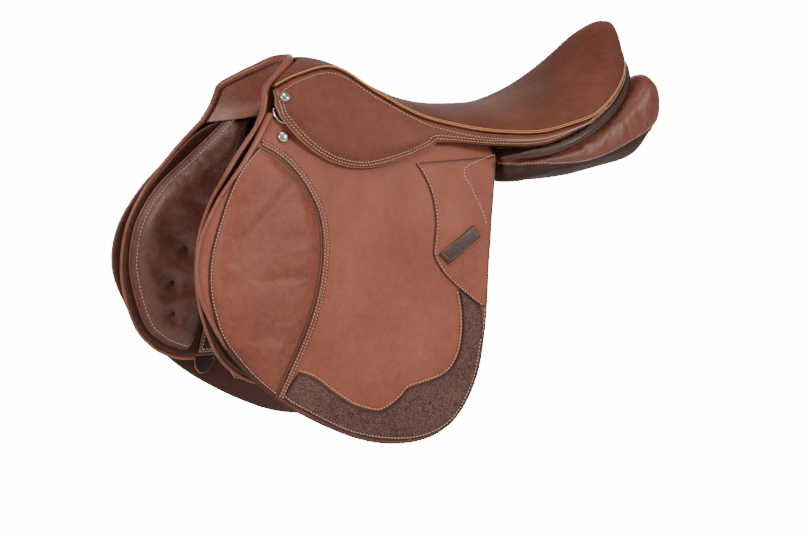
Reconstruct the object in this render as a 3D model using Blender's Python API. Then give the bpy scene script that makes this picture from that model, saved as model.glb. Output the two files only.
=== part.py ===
"""English jumping saddle, built as separate named pieces.

Every list and size below is in millimetres; the meshes are made in metres.
+X points to the cantle, -X to the pommel, +Z up, and the left side of the saddle is at -Y.
The origin is on the centreline, below the lowest point of the seat, level with the
undersides of the two panels, where the saddle rests on the horse's back.
"""
import math

import bmesh
import bpy
from mathutils import Vector

MM = 0.001
SIDES = {"left": -1, "right": 1}

# ---------------------------------------------------------------- driving dimensions
CLEARANCE = 0.4           # gap between neighbouring pieces
FLAP_THICKNESS = 4.0
SKIRT_THICKNESS = 3.2
SKIRT_EDGE_LIFT = 5.0     # outer face of the skirt above the flap, at its edge
SKIRT_BULGE = 9.5         # further rise of the skirt over the stirrup bar
SKIRT_BULGE_RUN = 20.0    # distance from the edge over which the bulge rises
SKIRT_FRONT_RISE = 4.5    # the skirt's front edge stands higher, over the D-ring
SKIRT_FRONT_RUN = (-236, -208)
PAD_THICKNESS = 11.0      # knee pad
GRIP_THICKNESS = 1.8      # dark grained overlay at the foot of the flap
PATCH_THICKNESS = 1.4     # overlay at the rear of the flap
SWEAT_OUTER = -13.4       # outer face of the sweat flap, from the flap's outer face
SWEAT_THICKNESS = 2.6
PANEL_OUTER = -16.6       # outer face of the front panel
PANEL_DEPTH = 24.0        # padding of the front panel
BILLET_WIDTH = 25.0
BILLET_THICKNESS = 3.0
BILLET_LAYERS = {"front": -5.3, "middle": -9.5, "rear": -5.3}
SEAT_LEATHER = 2.2
FOAM_THICKNESS = 3.2
FOAM_GAP = 2.4            # room between the coarse leather and foam surfaces
FOAM_RUN = (0.1, 0.84)    # part of the seat's length that is padded
FOAM_REACH = 0.80         # part of its width
ROLL_RADIUS = 5.2         # dark roll under the cantle
BINDING_RADIUS = 4.0      # binding roll along the pommel
WELT_RADIUS = 1.6

# Half-distance between the outer faces of the two flaps, as (height, half-distance).
SPREAD = [(-300, 121), (-230, 125), (-150, 125), (-70, 118), (0, 104.5), (60, 85), (100, 63), (125, 49)]

# Flap outline in (x, z), from the pommel down, round the foot and up the rear edge.
FLAP_CURVE = [(-257, 84), (-293, 40), (-331, -2), (-356, -48), (-358, -97), (-331, -154),
              (-272, -211), (-184, -257), (-117, -268), (-68, -252), (-38, -208), (-25, -150),
              (-16, -67), (-6, -13), (5, 36)]
FLAP_TOP = [(3, 56), (-60, 64), (-150, 76), (-225, 92)]

# The flap and the skirt each fold along a straight line: (x, half-distance, z) at both ends.
FLAP_FOLD = [(-285, 88, 60), (0, 118, -48)]
SKIRT_FOLD = [(-253, 90, 92), (-72, 103, 48)]
FOLD_GAP = 2.2

# Lower edge of the skirt from the pommel to where it is sewn down, in (x, z).
SKIRT_EDGE = [(-252, 104), (-250, 88), (-240, 70), (-225, 53), (-207, 39.5), (-187, 30.5),
              (-165, 26.5), (-140, 28), (-104, 36.5), (-72, 48)]

# Seat: its centreline from pommel to cantle, and the welt along the left or right edge.
SEAT_CENTRE = [(-193, 0, 140), (-180, 0, 142), (-150, 0, 134), (-115, 0, 113), (-80, 0, 98), (-41, 0, 90),
               (0, 0, 88), (45, 0, 90), (85, 0, 101), (115, 0, 116), (142, 0, 138), (164, 0, 162),
               (179, 0, 174), (190, 0, 178), (197, 0, 175)]
SEAT_EDGE = [(-248, 63.5, 114), (-216, 60, 127), (-172, 56, 133), (-128, 69, 106), (-86, 85, 82),
             (-41, 101, 69), (0, 110, 63), (45, 117, 62), (85, 117, 70), (118, 110, 79), (150, 94, 97),
             (176, 72, 117), (193, 46, 135), (202, 22, 147), (205, 0, 151)]

# Lower edge of the leather band between the welt and the skirt's fold, then above the roll.
BAND_EDGE = [(-251, 79, 95), (-228, 88, 87), (-185, 92, 76.5), (-134, 97, 64.5), (-92, 98.5, 54),
             (-45, 98, 50), (0, 107, 46), (45, 120, 46), (85, 121, 58), (118, 112.5, 72.5),
             (151, 93, 93), (178, 70.5, 112.5), (194, 45, 130), (202, 21, 142), (204.5, 0, 146)]

# Centreline of the roll from its tapered tip round to the back seam.
ROLL_CURVE = [(2, 110, 33), (26, 120, 36.5), (53, 125.5, 41), (80, 126.5, 50), (105, 121, 60.5),
              (133, 108, 74), (164, 87, 92), (189, 60, 113), (202, 31, 129.5), (206, 5.2, 135.5)]

# Binding roll of the pommel from the top centre down the front edge, and the inner edge of
# the facing that lines the arch behind it.
BINDING_CURVE = [(-200, 0, 141), (-209, 20, 139), (-224, 35.5, 130.5), (-240, 50, 121), (-257, 63, 110),
                 (-260, 69, 100), (-266, 75.5, 86), (-277, 81, 71)]
FACING_INNER = [(-174, 0, 110), (-180, 16, 108), (-198, 28, 94), (-222, 34, 78)]

# Tree: half-width and edge height at stations along x, and the webbed opening.
TREE_STATIONS = [(-166, 57, 73), (-158, 57, 71), (-148, 55, 73), (-133, 53, 88), (-105, 56, 80),
                 (-65, 64, 70), (-20, 72, 67), (30, 82, 66), (80, 84, 72), (120, 78, 86),
                 (150, 62, 106), (172, 42, 128)]
TREE_DROP = 15.0          # top of the tree below the seat's centreline
TREE_THICKNESS = 7.0
HEAD_SWEEP = 44.0         # how far the head's points run forward of its top
TREE_OPENING = (3, 9)     # first and last station of the webbed opening

# Panel cushions: (x, y, z, half-width, half-depth, slope in degrees) from front to rear.
PANEL_SECTIONS = [(-215, 61, 31, 22, 6, 68), (-208, 61, 31, 27, 9, 68), (-180, 61, 30, 28, 10, 66),
                  (-110, 60, 30, 28, 11, 60), (-40, 64, 27, 29, 14, 30), (-2, 61, 27, 29, 13, 28),
                  (9, 63, 26, 31, 14, 26), (32, 76, 24, 44, 16, 5), (90, 77, 30, 46, 19, -3),
                  (145, 71, 46, 42, 26, -7), (182, 63, 62, 38, 35, -10), (204, 59, 82, 33, 36, -10),
                  (219, 57, 86, 24, 26, -6), (227, 57, 88, 10, 12, 0)]
PANEL_FRONT = [(-246, 77), (-262, 58), (-290, 30), (-320, 0), (-341, -38), (-347, -80), (-341, -116),
               (-327, -154), (-309, -172), (-291, -181), (-276, -184), (-268, -172), (-258, -140),
               (-238, -92), (-212, -48), (-180, -12), (-165, 0), (-216, 5), (-219, 30), (-221, 77)]
SWEAT_CURVE = [(-268, 43), (-292, 27), (-325, -2), (-346, -40), (-352, -82), (-346, -120), (-331, -158),
               (-311, -178), (-288, -188), (-272, -193)]
SWEAT_FOOT = [(-105, -193), (-90, -180), (-84, -60), (-84, 10), (-88, 34)]
GUARD = [(-253, -143), (-263, -189), (-108, -189), (-104, -143)]

KNEE_PAD = [(-276, 52), (-300, 30), (-322, -4), (-342, -52), (-347, -86), (-343, -117), (-332, -146),
            (-303, -182), (-275, -206), (-262, -180), (-246, -149), (-234, -122), (-224, -91),
            (-218, -58), (-218, -26), (-226, 0), (-240, 24), (-257, 41)]
GRIP_INNER = [(-240, -186), (-226, -193), (-208, -207), (-185, -222), (-160, -230), (-146, -228),
              (-129, -217), (-120, -208), (-104, -204), (-82, -198), (-68, -189), (-58, -171),
              (-54, -149), (-54, -127), (-57, -105), (-30, -128)]
GRIP_OUTER = [(-30, -160), (-41, -207), (-69, -249), (-117, -264), (-184, -253), (-250, -220), (-263, -210)]
REAR_PATCH = [(-96, 30), (-87, 13), (-81, -8), (-80, -33), (-84, -56), (-85, -69), (-75, -87), (-59, -103),
              (-24, -126), (-19, -80), (-11, -30), (-0.5, 20), (3, 34)]
FLAP_TAB = [(-80, -67), (-36, -38), (-28, -50), (-69, -78)]

BAR_FRONT, BAR_REAR = -213.0, -146.0
BAR_HEIGHT = 53.0
BAR_DEPTH = 10.0          # height of the bar's section
BAR_INNER, BAR_OUTER = 85.6, 90.6
BAR_PLATE = (72.6, 76.6)
CATCH_PIVOT_X = -139.0
CATCH_LENGTH = 10.5

NAIL_AT = (0.035, 0.60)   # place on the band, along and down
FASTENER_LIFT = 1.2
STUD_AT = (-246.5, 61)
DEE_PIVOT = (-242, 90)
DEE_RADIUS = 9.6
DEE_WIRE = 1.4
DEE_LIFT = 2.9

LEATHER = {"tan": (0.36, 0.13, 0.085), "seat": (0.25, 0.10, 0.065), "dark": (0.09, 0.045, 0.032),
           "inner": (0.13, 0.055, 0.04), "grain": (0.12, 0.05, 0.035)}
PLAIN = {"foam": (0.75, 0.7, 0.5), "webbing": (0.7, 0.66, 0.55), "tree": (0.55, 0.40, 0.22),
         "steel": (0.55, 0.55, 0.56), "nickel": (0.75, 0.74, 0.72), "welt": (0.62, 0.30, 0.10)}


# ---------------------------------------------------------------- curves
def value_at(knots, x):
    """Smooth value at x through (x, value) knots in rising or falling order of x."""
    pts = sorted(knots)
    x = min(max(x, pts[0][0]), pts[-1][0])
    i = max(k for k in range(len(pts) - 1) if pts[k][0] <= x)
    slopes = []
    for k in (i, i + 1):
        a, b = pts[max(k - 1, 0)], pts[min(k + 1, len(pts) - 1)]
        slopes.append((b[1] - a[1]) / (b[0] - a[0]))
    width = pts[i + 1][0] - pts[i][0]
    t = (x - pts[i][0]) / width
    return (pts[i][1] * (2 * t**3 - 3 * t**2 + 1) + slopes[0] * width * (t**3 - 2 * t**2 + t)
            + pts[i + 1][1] * (3 * t**2 - 2 * t**3) + slopes[1] * width * (t**3 - t**2))


def along(knots, s):
    """Point at s (0 to 1) on the smooth curve through the knots."""
    n = len(knots) - 1
    i = min(int(s * n), n - 1)
    t = s * n - i
    p = [Vector(knots[min(max(k, 0), n)]) for k in (i - 1, i, i + 1, i + 2)]
    return 0.5 * (2 * p[1] + (p[2] - p[0]) * t + (2 * p[0] - 5 * p[1] + 4 * p[2] - p[3]) * t**2
                  + (3 * p[1] - p[0] - 3 * p[2] + p[3]) * t**3)


def smooth_run(knots, steps):
    """Points on the smooth open curve through the knots, with steps points per stretch."""
    count = (len(knots) - 1) * steps
    return [along(knots, k / count) for k in range(count + 1)]


def spread(z):
    return value_at(SPREAD, z)


def distance_to_run(x, z, run):
    """Distance in the x-z plane from a point to a run of (x, z) points."""
    best = 1e9
    for a, b in zip(run, run[1:]):
        d = Vector(b) - Vector(a)
        t = max(0.0, min(1.0, (Vector((x, z)) - Vector(a)).dot(d) / max(d.length_squared, 1e-9)))
        best = min(best, (Vector((x, z)) - Vector(a) - d * t).length)
    return best


def turns(count, start=0.0):
    """Evenly spread angles once round."""
    return [2 * math.pi * (k + start) / count for k in range(count)]


# ---------------------------------------------------------------- solids
def material(name, colour, metallic=0.0, roughness=0.6):
    mat = bpy.data.materials.new(name)
    mat.use_nodes = True
    shader = mat.node_tree.nodes["Principled BSDF"]
    shader.inputs["Base Color"].default_value = (*colour, 1.0)
    shader.inputs["Metallic"].default_value = metallic
    shader.inputs["Roughness"].default_value = roughness
    return mat


def finish_mesh(name, bm, colour, metallic=0.0, smooth=True):
    """Weld the mesh, point its faces outwards and make the object, from millimetres."""
    bmesh.ops.remove_doubles(bm, verts=bm.verts, dist=0.01)
    bmesh.ops.dissolve_degenerate(bm, edges=bm.edges, dist=0.005)
    bmesh.ops.recalc_face_normals(bm, faces=bm.faces)
    bmesh.ops.scale(bm, vec=(MM, MM, MM), verts=bm.verts)
    mesh = bpy.data.meshes.new(name)
    bm.to_mesh(mesh)
    bm.free()
    if smooth:
        mesh.shade_smooth()
        mesh.set_sharp_from_angle(angle=math.radians(40))
    obj = bpy.data.objects.new(name, mesh)
    bpy.context.collection.objects.link(obj)
    mesh.materials.append(material(name, colour, metallic, 0.3 if metallic else 0.6))
    return obj


def place_origin(obj, point):
    """Move the object's origin to a point in millimetres and leave the shape where it is."""
    shift = Vector(point) * MM
    for vert in obj.data.vertices:
        vert.co -= shift
    obj.location = shift


def close_shell(bm, outer, inner, faces, sewn_from=None):
    """Faces on the outer points, the same faces reversed on the inner points, and the walls.

    Points from index sewn_from on lie on a seam where the sheet meets itself, with no wall.
    """
    sewn_from = len(outer) if sewn_from is None else sewn_from
    top = [bm.verts.new(p) for p in outer]
    low = [bm.verts.new(p) for p in inner]
    edges = {}
    for face in faces:
        bm.faces.new([top[k] for k in face])
        bm.faces.new([low[k] for k in reversed(face)])
        for a, b in zip(face, face[1:] + face[:1]):
            edges[(a, b)] = edges.get((a, b), 0) + 1
    for a, b in edges:
        if (b, a) not in edges and min(a, b) < sewn_from:
            bm.faces.new([top[b], top[a], low[a], low[b]])


def layer(name, colour, side, outline, outer, inner, cell=(60, 30), cuts=(), window=None):
    """A leather layer: an outline in (x, z) wrapped on two heights over the centre plane.

    outer and inner give the half-distance of the two faces at (x, z); cuts are
    (point, direction) pairs in (x, z), and the side that the direction points to goes.
    """
    flat = bmesh.new()
    flat.faces.new([flat.verts.new((p[0], 0, p[1])) for p in outline])
    for point, direction in cuts:
        bmesh.ops.bisect_plane(flat, geom=flat.verts[:] + flat.edges[:] + flat.faces[:], clear_outer=True,
                               plane_co=(point[0], 0, point[1]), plane_no=(direction[0], 0, direction[1]))
    planes = []
    for axis, size in ((0, cell[0]), (2, cell[1])):
        values = [v.co[axis] for v in flat.verts]
        count = max(1, round((max(values) - min(values)) / size))
        low, high = min(values), max(values)
        planes += [(axis, low + (high - low) * k / count) for k in range(1, count)]
    if window:
        planes += [(0, window[0]), (0, window[1]), (2, window[2]), (2, window[3])]
    for axis, value in planes:
        point = [0.0, 0.0, 0.0]
        point[axis] = value
        normal = [float(k == axis) for k in range(3)]
        bmesh.ops.bisect_plane(flat, geom=flat.verts[:] + flat.edges[:] + flat.faces[:],
                               plane_co=point, plane_no=normal)
    if window:
        inside = [f for f in flat.faces if window[0] < f.calc_center_median().x < window[1]
                  and window[2] < f.calc_center_median().z < window[3]]
        bmesh.ops.delete(flat, geom=inside, context="FACES")
    bmesh.ops.triangulate(flat, faces=flat.faces)
    flat.verts.index_update()
    spots = [(v.co.x, v.co.z) for v in flat.verts]
    faces = [[v.index for v in f.verts] for f in flat.faces]
    flat.free()
    bm = bmesh.new()
    close_shell(bm, [(x, side * outer(x, z), z) for x, z in spots],
                [(x, side * inner(x, z), z) for x, z in spots], faces)
    return finish_mesh(name, bm, colour)


def offset(distance):
    return lambda x, z: spread(z) + distance


def grid_shell(name, colour, outer, inner, keep=lambda i, j: True, sewn=False):
    """A closed shell between two grids of points; keep says which cells are solid.

    On a sewn shell the left half of the last row meets the right half.
    """
    rows, cols = len(outer), len(outer[0])
    faces = [[i * cols + j, (i + 1) * cols + j, (i + 1) * cols + j + 1, i * cols + j + 1]
             for i in range(rows - 1) for j in range(cols - 1) if keep(i, j)]
    bm = bmesh.new()
    sewn_from = (rows - 1) * cols if sewn else None
    close_shell(bm, [p for row in outer for p in row], [p for row in inner for p in row], faces, sewn_from)
    loose = [v for v in bm.verts if not v.link_faces]
    bmesh.ops.delete(bm, geom=loose, context="VERTS")
    bmesh.ops.triangulate(bm, faces=bm.faces)
    return finish_mesh(name, bm, colour)


def lofted(name, colour, rings, metallic=0.0):
    """A closed body through rings of points, capped at both ends."""
    bm = bmesh.new()
    loops = [[bm.verts.new(p) for p in ring] for ring in rings]
    for a, b in zip(loops, loops[1:]):
        for k in range(len(a)):
            n = (k + 1) % len(a)
            bm.faces.new([a[k], a[n], b[n], b[k]])
    bm.faces.new(loops[0])
    bm.faces.new(loops[-1])
    bmesh.ops.triangulate(bm, faces=bm.faces)
    return finish_mesh(name, bm, colour, metallic)


def tube(name, colour, points, radii, sides=8, metallic=0.0, closed=False):
    """A round tube along the points; radii is one value or one for each point."""
    points = [Vector(p) for p in points]
    count = len(points)
    radii = radii if isinstance(radii, list) else [radii] * count
    rings, up = [], Vector((0.13, 0.21, 0.97))
    for k, point in enumerate(points):
        before = points[(k - 1) % count] if closed or k else points[0]
        after = points[(k + 1) % count] if closed or k < count - 1 else points[-1]
        run = (after - before).normalized()
        up = (up - run * up.dot(run)).normalized()
        across = run.cross(up)
        rings.append([point + (across * math.cos(a) + up * math.sin(a)) * radii[k] for a in turns(sides)])
    if not closed:
        return lofted(name, colour, rings, metallic)
    bm = bmesh.new()
    loops = [[bm.verts.new(p) for p in ring] for ring in rings]
    for k in range(count):
        a, b = loops[k], loops[(k + 1) % count]
        for j in range(sides):
            n = (j + 1) % sides
            bm.faces.new([a[j], a[n], b[n], b[j]])
    bmesh.ops.triangulate(bm, faces=bm.faces)
    return finish_mesh(name, bm, colour, metallic)


def prism(name, colour, outline, low, high, axis="z", metallic=0.0):
    """An outline extruded from low to high along z, or along y for an outline in (x, z)."""
    def at(p, h):
        return (p[0], p[1], h) if axis == "z" else (p[0], h, p[1])
    bm = bmesh.new()
    a = [bm.verts.new(at(p, low)) for p in outline]
    b = [bm.verts.new(at(p, high)) for p in outline]
    bm.faces.new(a)
    bm.faces.new(b)
    for k in range(len(a)):
        n = (k + 1) % len(a)
        bm.faces.new([a[k], a[n], b[n], b[k]])
    return finish_mesh(name, bm, colour, metallic, smooth=False)


def cut(obj, cutter):
    """Take the cutter out of the object, and leave the cutter as a hidden guide."""
    cutter.hide_render = True
    cutter.display_type = "WIRE"
    boolean = obj.modifiers.new("cut_" + cutter.name, "BOOLEAN")
    boolean.operation = "DIFFERENCE"
    boolean.solver = "EXACT"
    boolean.object = cutter


def dome(name, colour, base, out, radius, height, metallic=1.0):
    """A domed nail head on a surface point, facing out."""
    profile = [(radius * 0.5, height * 0.86), (radius * 0.87, height * 0.5), (radius, 0.0)]
    across = Vector((0, 0, 1)).cross(out).normalized()
    other = out.cross(across)
    rings = [[base + out * h + (across * math.cos(a) + other * math.sin(a)) * r for a in turns(12)]
             for r, h in profile]
    return lofted(name, colour, rings, metallic)


# ---------------------------------------------------------------- seat and tree
def seat_point(s, v, sink=0.0):
    """Point on the seat: s runs from pommel to cantle and v from the left edge to the right."""
    centre, edge = along(SEAT_CENTRE, s), along(SEAT_EDGE, s)
    a = abs(v)
    wall = min(1.0, max(0.0, (s - 0.55) / 0.4))
    crown = (1 - a ** (2.2 + 2.0 * wall)) ** (0.8 - 0.2 * wall) if a < 1 else 0.0
    x = centre.x + (edge.x - centre.x) * a ** (1 + 0.6 * max(0.0, 1 - s / 0.3))
    z = edge.z + (centre.z - edge.z) * crown
    y = math.copysign(edge.y * a, v)
    shrink = 1 - sink / 110.0
    return Vector((x - sink * 0.45 * s, y * shrink, z - sink))


def seat_grid(sink, rows=22, cols=10, run=(0.0, 1.0), reach=1.0):
    return [[seat_point(run[0] + (run[1] - run[0]) * i / rows, reach * (-1 + 2 * j / cols), sink)
             for j in range(cols + 1)] for i in range(rows + 1)]


def seat_pieces():
    grid_shell("seat_cover", LEATHER["seat"], seat_grid(0.0), seat_grid(SEAT_LEATHER), sewn=True)
    foam_top = SEAT_LEATHER + FOAM_GAP
    grid_shell("seat_foam", PLAIN["foam"], seat_grid(foam_top, 14, 8, FOAM_RUN, FOAM_REACH),
               seat_grid(foam_top + FOAM_THICKNESS, 14, 8, FOAM_RUN, FOAM_REACH))


def tree_point(i, v, drop):
    """Point on the tree's top face at station i, lowered by drop."""
    x, half, edge_z = TREE_STATIONS[i]
    centre_z = value_at([(p[0], p[2]) for p in SEAT_CENTRE], x) - TREE_DROP
    sweep = HEAD_SWEEP * max(0.0, 1 - i / 4.0)
    a = abs(v)
    z = centre_z + (edge_z - centre_z) * a**2.0
    return Vector((x - sweep * a, half * v, z - drop))


def tree_grid(first, last, drop, cols=12):
    return [[tree_point(i, -1 + 2 * j / cols, drop) for j in range(cols + 1)] for i in range(first, last + 1)]


def tree_pieces():
    last = len(TREE_STATIONS) - 1
    first_open, last_open = TREE_OPENING

    def solid(i, j):
        return not (first_open <= i < last_open and 3 <= j < 9)
    grid_shell("tree", PLAIN["tree"], tree_grid(0, last, 0.0), tree_grid(0, last, TREE_THICKNESS), solid)
    under = TREE_THICKNESS + CLEARANCE
    grid_shell("head_plate", PLAIN["steel"], tree_grid(1, 3, under), tree_grid(1, 3, under + 2.0))
    half_strap = 16.0
    strap_x = [-148, -132, -115, -80, -40, 0, 40, 80, 100, 115, 130]

    def strap(lift, y):
        heights = [(p[0], p[2]) for p in SEAT_CENTRE]
        return [[Vector((x, y * k, value_at(heights, x) - TREE_DROP + lift)) for k in (-1, 0, 1)]
                for x in strap_x]
    grid_shell("seat_webbing", PLAIN["webbing"], strap(2.8, half_strap), strap(1.3, half_strap))
    lining_x = [(-138, 31), (-110, 30), (-40, 28), (40, 28), (110, 28), (160, 24)]

    def lining(drop):
        rows = []
        for x, half in lining_x:
            top = value_at([(p[0], p[2]) for p in SEAT_CENTRE], x) - TREE_DROP - TREE_THICKNESS - 9.0
            rows.append([Vector((x, half * k, top - drop - 9.0 * k * k)) for k in (-1, -0.5, 0, 0.5, 1)])
        return rows
    grid_shell("gullet_lining", LEATHER["inner"], lining(0.0), lining(2.0))


def pommel_pieces():
    arch = smooth_run(BINDING_CURVE, 2)
    full = [Vector((p.x, -p.y, p.z)) for p in reversed(arch)] + arch[1:]
    tube("pommel_binding", LEATHER["tan"], full, BINDING_RADIUS, 7)
    outer = smooth_run([(p[0] + 5.5, p[1] * 0.88, p[2] - 5.5) for p in BINDING_CURVE[:7]], 2)
    inner = [along(FACING_INNER, k / (len(outer) - 1)) for k in range(len(outer))]

    def facing(depth):
        rows = []
        for side in (-1, 1):
            order = list(zip(outer, inner))
            order = list(reversed(order)) if side < 0 else order[1:]
            for a, b in order:
                row = []
                for t in (0.0, 0.35, 0.7, 1.0):
                    p = a.lerp(b, t)
                    row.append(Vector((p.x + depth, side * p.y, p.z)))
                rows.append(row)
        return rows
    grid_shell("pommel_facing", LEATHER["tan"], facing(0.0), facing(3.0))


def outward_at(s):
    """Direction out of the seat's edge, which turns to the rear round the cantle."""
    turn = math.radians(85) * max(0.0, (s - 0.62) / 0.38) ** 1.3
    return Vector((math.sin(turn), math.cos(turn), 0))


def band_point(s, t, depth=0.0):
    """Point on the band between the welt (t = 0) and its lower edge (t = 1), on the right side."""
    top, foot = along(SEAT_EDGE, s), along(BAND_EDGE, s)
    if foot.x < SKIRT_FOLD[1][0]:
        foot.y = skirt_outer(foot.x, foot.z)
    top.z -= 4.2
    p = top.lerp(foot, t) + outward_at(s) * (1.5 * math.sin(math.pi * t) - depth)
    return Vector((p.x, max(p.y, CLEARANCE), p.z))


def band_pieces(name, side):
    """The leather band between welt and fold, its orange welt and the dark roll below."""
    rows = 30

    def face(depth):
        grid = [[band_point(0.01 + 0.985 * i / rows, t, depth) for t in (0.0, 0.5, 1.0)]
                for i in range(rows + 1)]
        return [[Vector((p.x, side * p.y, p.z)) for p in row] for row in grid]
    grid_shell("skirt_band_" + name, LEATHER["seat"], face(0.0), face(2.2))
    welt = []
    for k in range(33):
        s = 0.01 + 0.97 * k / 32
        p = along(SEAT_EDGE, s) + outward_at(s) * (WELT_RADIUS + CLEARANCE)
        welt.append(Vector((p.x, side * max(p.y, WELT_RADIUS + CLEARANCE), p.z + 0.2)))
    tube("seat_welt_" + name, PLAIN["welt"], welt, WELT_RADIUS, 5)
    run = smooth_run(ROLL_CURVE, 3)
    radii = [ROLL_RADIUS * min(1.0, 0.4 + 0.2 * k) for k in range(len(run))]
    tube("cantle_roll_" + name, LEATHER["dark"], [(p.x, side * p.y, p.z) for p in run], radii, 7)


# ---------------------------------------------------------------- side pieces
def fold_direction(fold):
    """Unit vector in (x, z) across a fold line, pointing up and towards the seat."""
    run = Vector((fold[1][0] - fold[0][0], fold[1][2] - fold[0][2])).normalized()
    return Vector((-run.y, run.x))


def fold_cut(fold, upper):
    """A cut along the fold that leaves the upper or the lower side, less the gap."""
    across = fold_direction(fold)
    start = Vector((fold[0][0], fold[0][2]))
    if upper:
        return (start + across * FOLD_GAP / 2, -across)
    return (start - across * FOLD_GAP / 2, across)


def flap_pieces(name, side):
    outline = smooth_run(FLAP_CURVE, 3) + [Vector(p) for p in FLAP_TOP]
    pivot = Vector(FLAP_FOLD[0])
    pivot = Vector((pivot.x, side * pivot.y, pivot.z))
    moving = fold_cut(FLAP_FOLD, False)
    room = BAR_DEPTH / 2 + 5
    window = (BAR_FRONT - 4, CATCH_PIVOT_X + 14, BAR_HEIGHT - room, BAR_HEIGHT + room)
    layer("flap_top_" + name, LEATHER["tan"], side, outline, offset(0.0), offset(-FLAP_THICKNESS),
          (45, 30), [fold_cut(FLAP_FOLD, True)], window)
    pieces = [layer("flap_" + name, LEATHER["tan"], side, outline, offset(0.0), offset(-FLAP_THICKNESS),
                    (120, 30), [moving])]
    base = CLEARANCE
    pad = smooth_run(KNEE_PAD[:9], 2) + smooth_run(KNEE_PAD[8:] + KNEE_PAD[:1], 2)[1:-1]
    rim = pad + pad[:1]

    def pad_face(x, z):
        rise = min(1.0, distance_to_run(x, z, rim) / 16.0)
        return spread(z) + base + PAD_THICKNESS * (0.4 + 0.6 * math.sin(rise * math.pi / 2))
    pieces.append(layer("knee_pad_" + name, LEATHER["tan"], side, pad, pad_face, offset(base),
                        (26, 22), [moving]))
    grip = smooth_run(GRIP_INNER[:15], 1) + [Vector(GRIP_INNER[15])] + smooth_run(GRIP_OUTER, 2)
    pieces.append(layer("grip_patch_" + name, LEATHER["grain"], side, grip, offset(base + GRIP_THICKNESS),
                        offset(base), (120, 30)))
    patch_cut = (moving[0] - fold_direction(FLAP_FOLD) * 2.0, moving[1])
    pieces.append(layer("rear_patch_" + name, LEATHER["tan"], side, [Vector(p) for p in REAR_PATCH],
                        offset(base + PATCH_THICKNESS), offset(base), (120, 30), [patch_cut]))
    tab_base = base + PATCH_THICKNESS + CLEARANCE
    pieces.append(layer("flap_tab_" + name, LEATHER["dark"], side, [Vector(p) for p in FLAP_TAB],
                        offset(tab_base + 2.2), offset(tab_base), (80, 30)))
    for piece in pieces:
        place_origin(piece, pivot)


def skirt_outer(x, z):
    """Half-distance of the skirt's outer face, which bulges over the bar and the D-ring."""
    rise = min(1.0, distance_to_run(x, z, smooth_run(SKIRT_EDGE, 2)) / SKIRT_BULGE_RUN)
    start, end = SKIRT_FRONT_RUN
    front = min(1.0, max(0.0, (end - x) / (end - start)))
    return spread(z) + SKIRT_EDGE_LIFT + SKIRT_BULGE * (3 * rise**2 - 2 * rise**3) + SKIRT_FRONT_RISE * front


def skirt_piece(name, side):
    def inner(x, z):
        return skirt_outer(x, z) - SKIRT_THICKNESS
    obj = layer("skirt_" + name, LEATHER["seat"], side, smooth_run(SKIRT_EDGE, 2), skirt_outer, inner,
                (14, 9), [fold_cut(SKIRT_FOLD, False)])
    place_origin(obj, (SKIRT_FOLD[0][0], side * SKIRT_FOLD[0][1], SKIRT_FOLD[0][2]))


def panel_pieces(name, side):
    rings = []
    for x, y, z, half, depth, slope in PANEL_SECTIONS:
        tilt = math.radians(slope)
        ring = []
        for turn in turns(16):
            c, s = math.cos(turn), math.sin(turn)
            a = half * math.copysign(abs(c) ** 0.75, c)
            b = depth * math.copysign(abs(s) ** 0.75, s)
            ring.append((x, side * (y + a * math.cos(tilt) + b * math.sin(tilt)),
                         z - a * math.sin(tilt) + b * math.cos(tilt)))
        rings.append(ring)
    lofted("panel_" + name, LEATHER["inner"], rings)
    front = smooth_run(PANEL_FRONT[:12], 2) + [Vector(p) for p in PANEL_FRONT[12:]]
    rim = front + front[:1]

    def inner(x, z):
        rise = min(1.0, distance_to_run(x, z, rim) / 26.0)
        return spread(z) + PANEL_OUTER - PANEL_DEPTH * (0.35 + 0.65 * math.sin(rise * math.pi / 2))
    layer("panel_front_" + name, LEATHER["inner"], side, front, offset(PANEL_OUTER), inner, (30, 28))
    sweat = smooth_run(SWEAT_CURVE, 2) + [Vector(p) for p in SWEAT_FOOT]
    layer("sweat_flap_" + name, LEATHER["inner"], side, sweat, offset(SWEAT_OUTER),
          offset(SWEAT_OUTER - SWEAT_THICKNESS), (120, 30))
    guard_out = SWEAT_OUTER - SWEAT_THICKNESS - CLEARANCE
    layer("billet_guard_" + name, LEATHER["inner"], side, GUARD,
          offset(guard_out), offset(guard_out - 2.0), (120, 30))


BILLETS = {"front": ((-190, 23), (-256, -214)), "middle": ((-150, 19), (-214, -222)),
           "rear": ((-110, 15), (-160, -222))}


def billet_pieces(name, side):
    """Three girth straps on each side, with a web at each top and a punched, pointed tip."""
    for which, (top, tip) in BILLETS.items():
        outer_face = BILLET_LAYERS[which]
        run = (Vector(tip) - Vector(top)).normalized()
        across = Vector((-run.y, run.x)) * BILLET_WIDTH / 2
        shoulder = Vector(tip) - run * 16
        mid = Vector(tip) - run * 5
        outline = [Vector(top) - across, shoulder - across, mid - across * 0.72, Vector(tip) - across * 0.2,
                   Vector(tip) + across * 0.2, mid + across * 0.72, shoulder + across, Vector(top) + across]
        strap = layer(f"billet_{which}_{name}", LEATHER["dark"], side, outline, offset(outer_face),
                      offset(outer_face - BILLET_THICKNESS), (200, 30))
        place_origin(strap, (top[0], side * (spread(top[1]) + outer_face), top[1]))
    web = [(-206, 30), (-95, 22.5), (-93, 42), (-202, 46)]
    layer("billet_web_" + name, PLAIN["webbing"], side, web, offset(-5.6), offset(-12.2), (60, 12))


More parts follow.
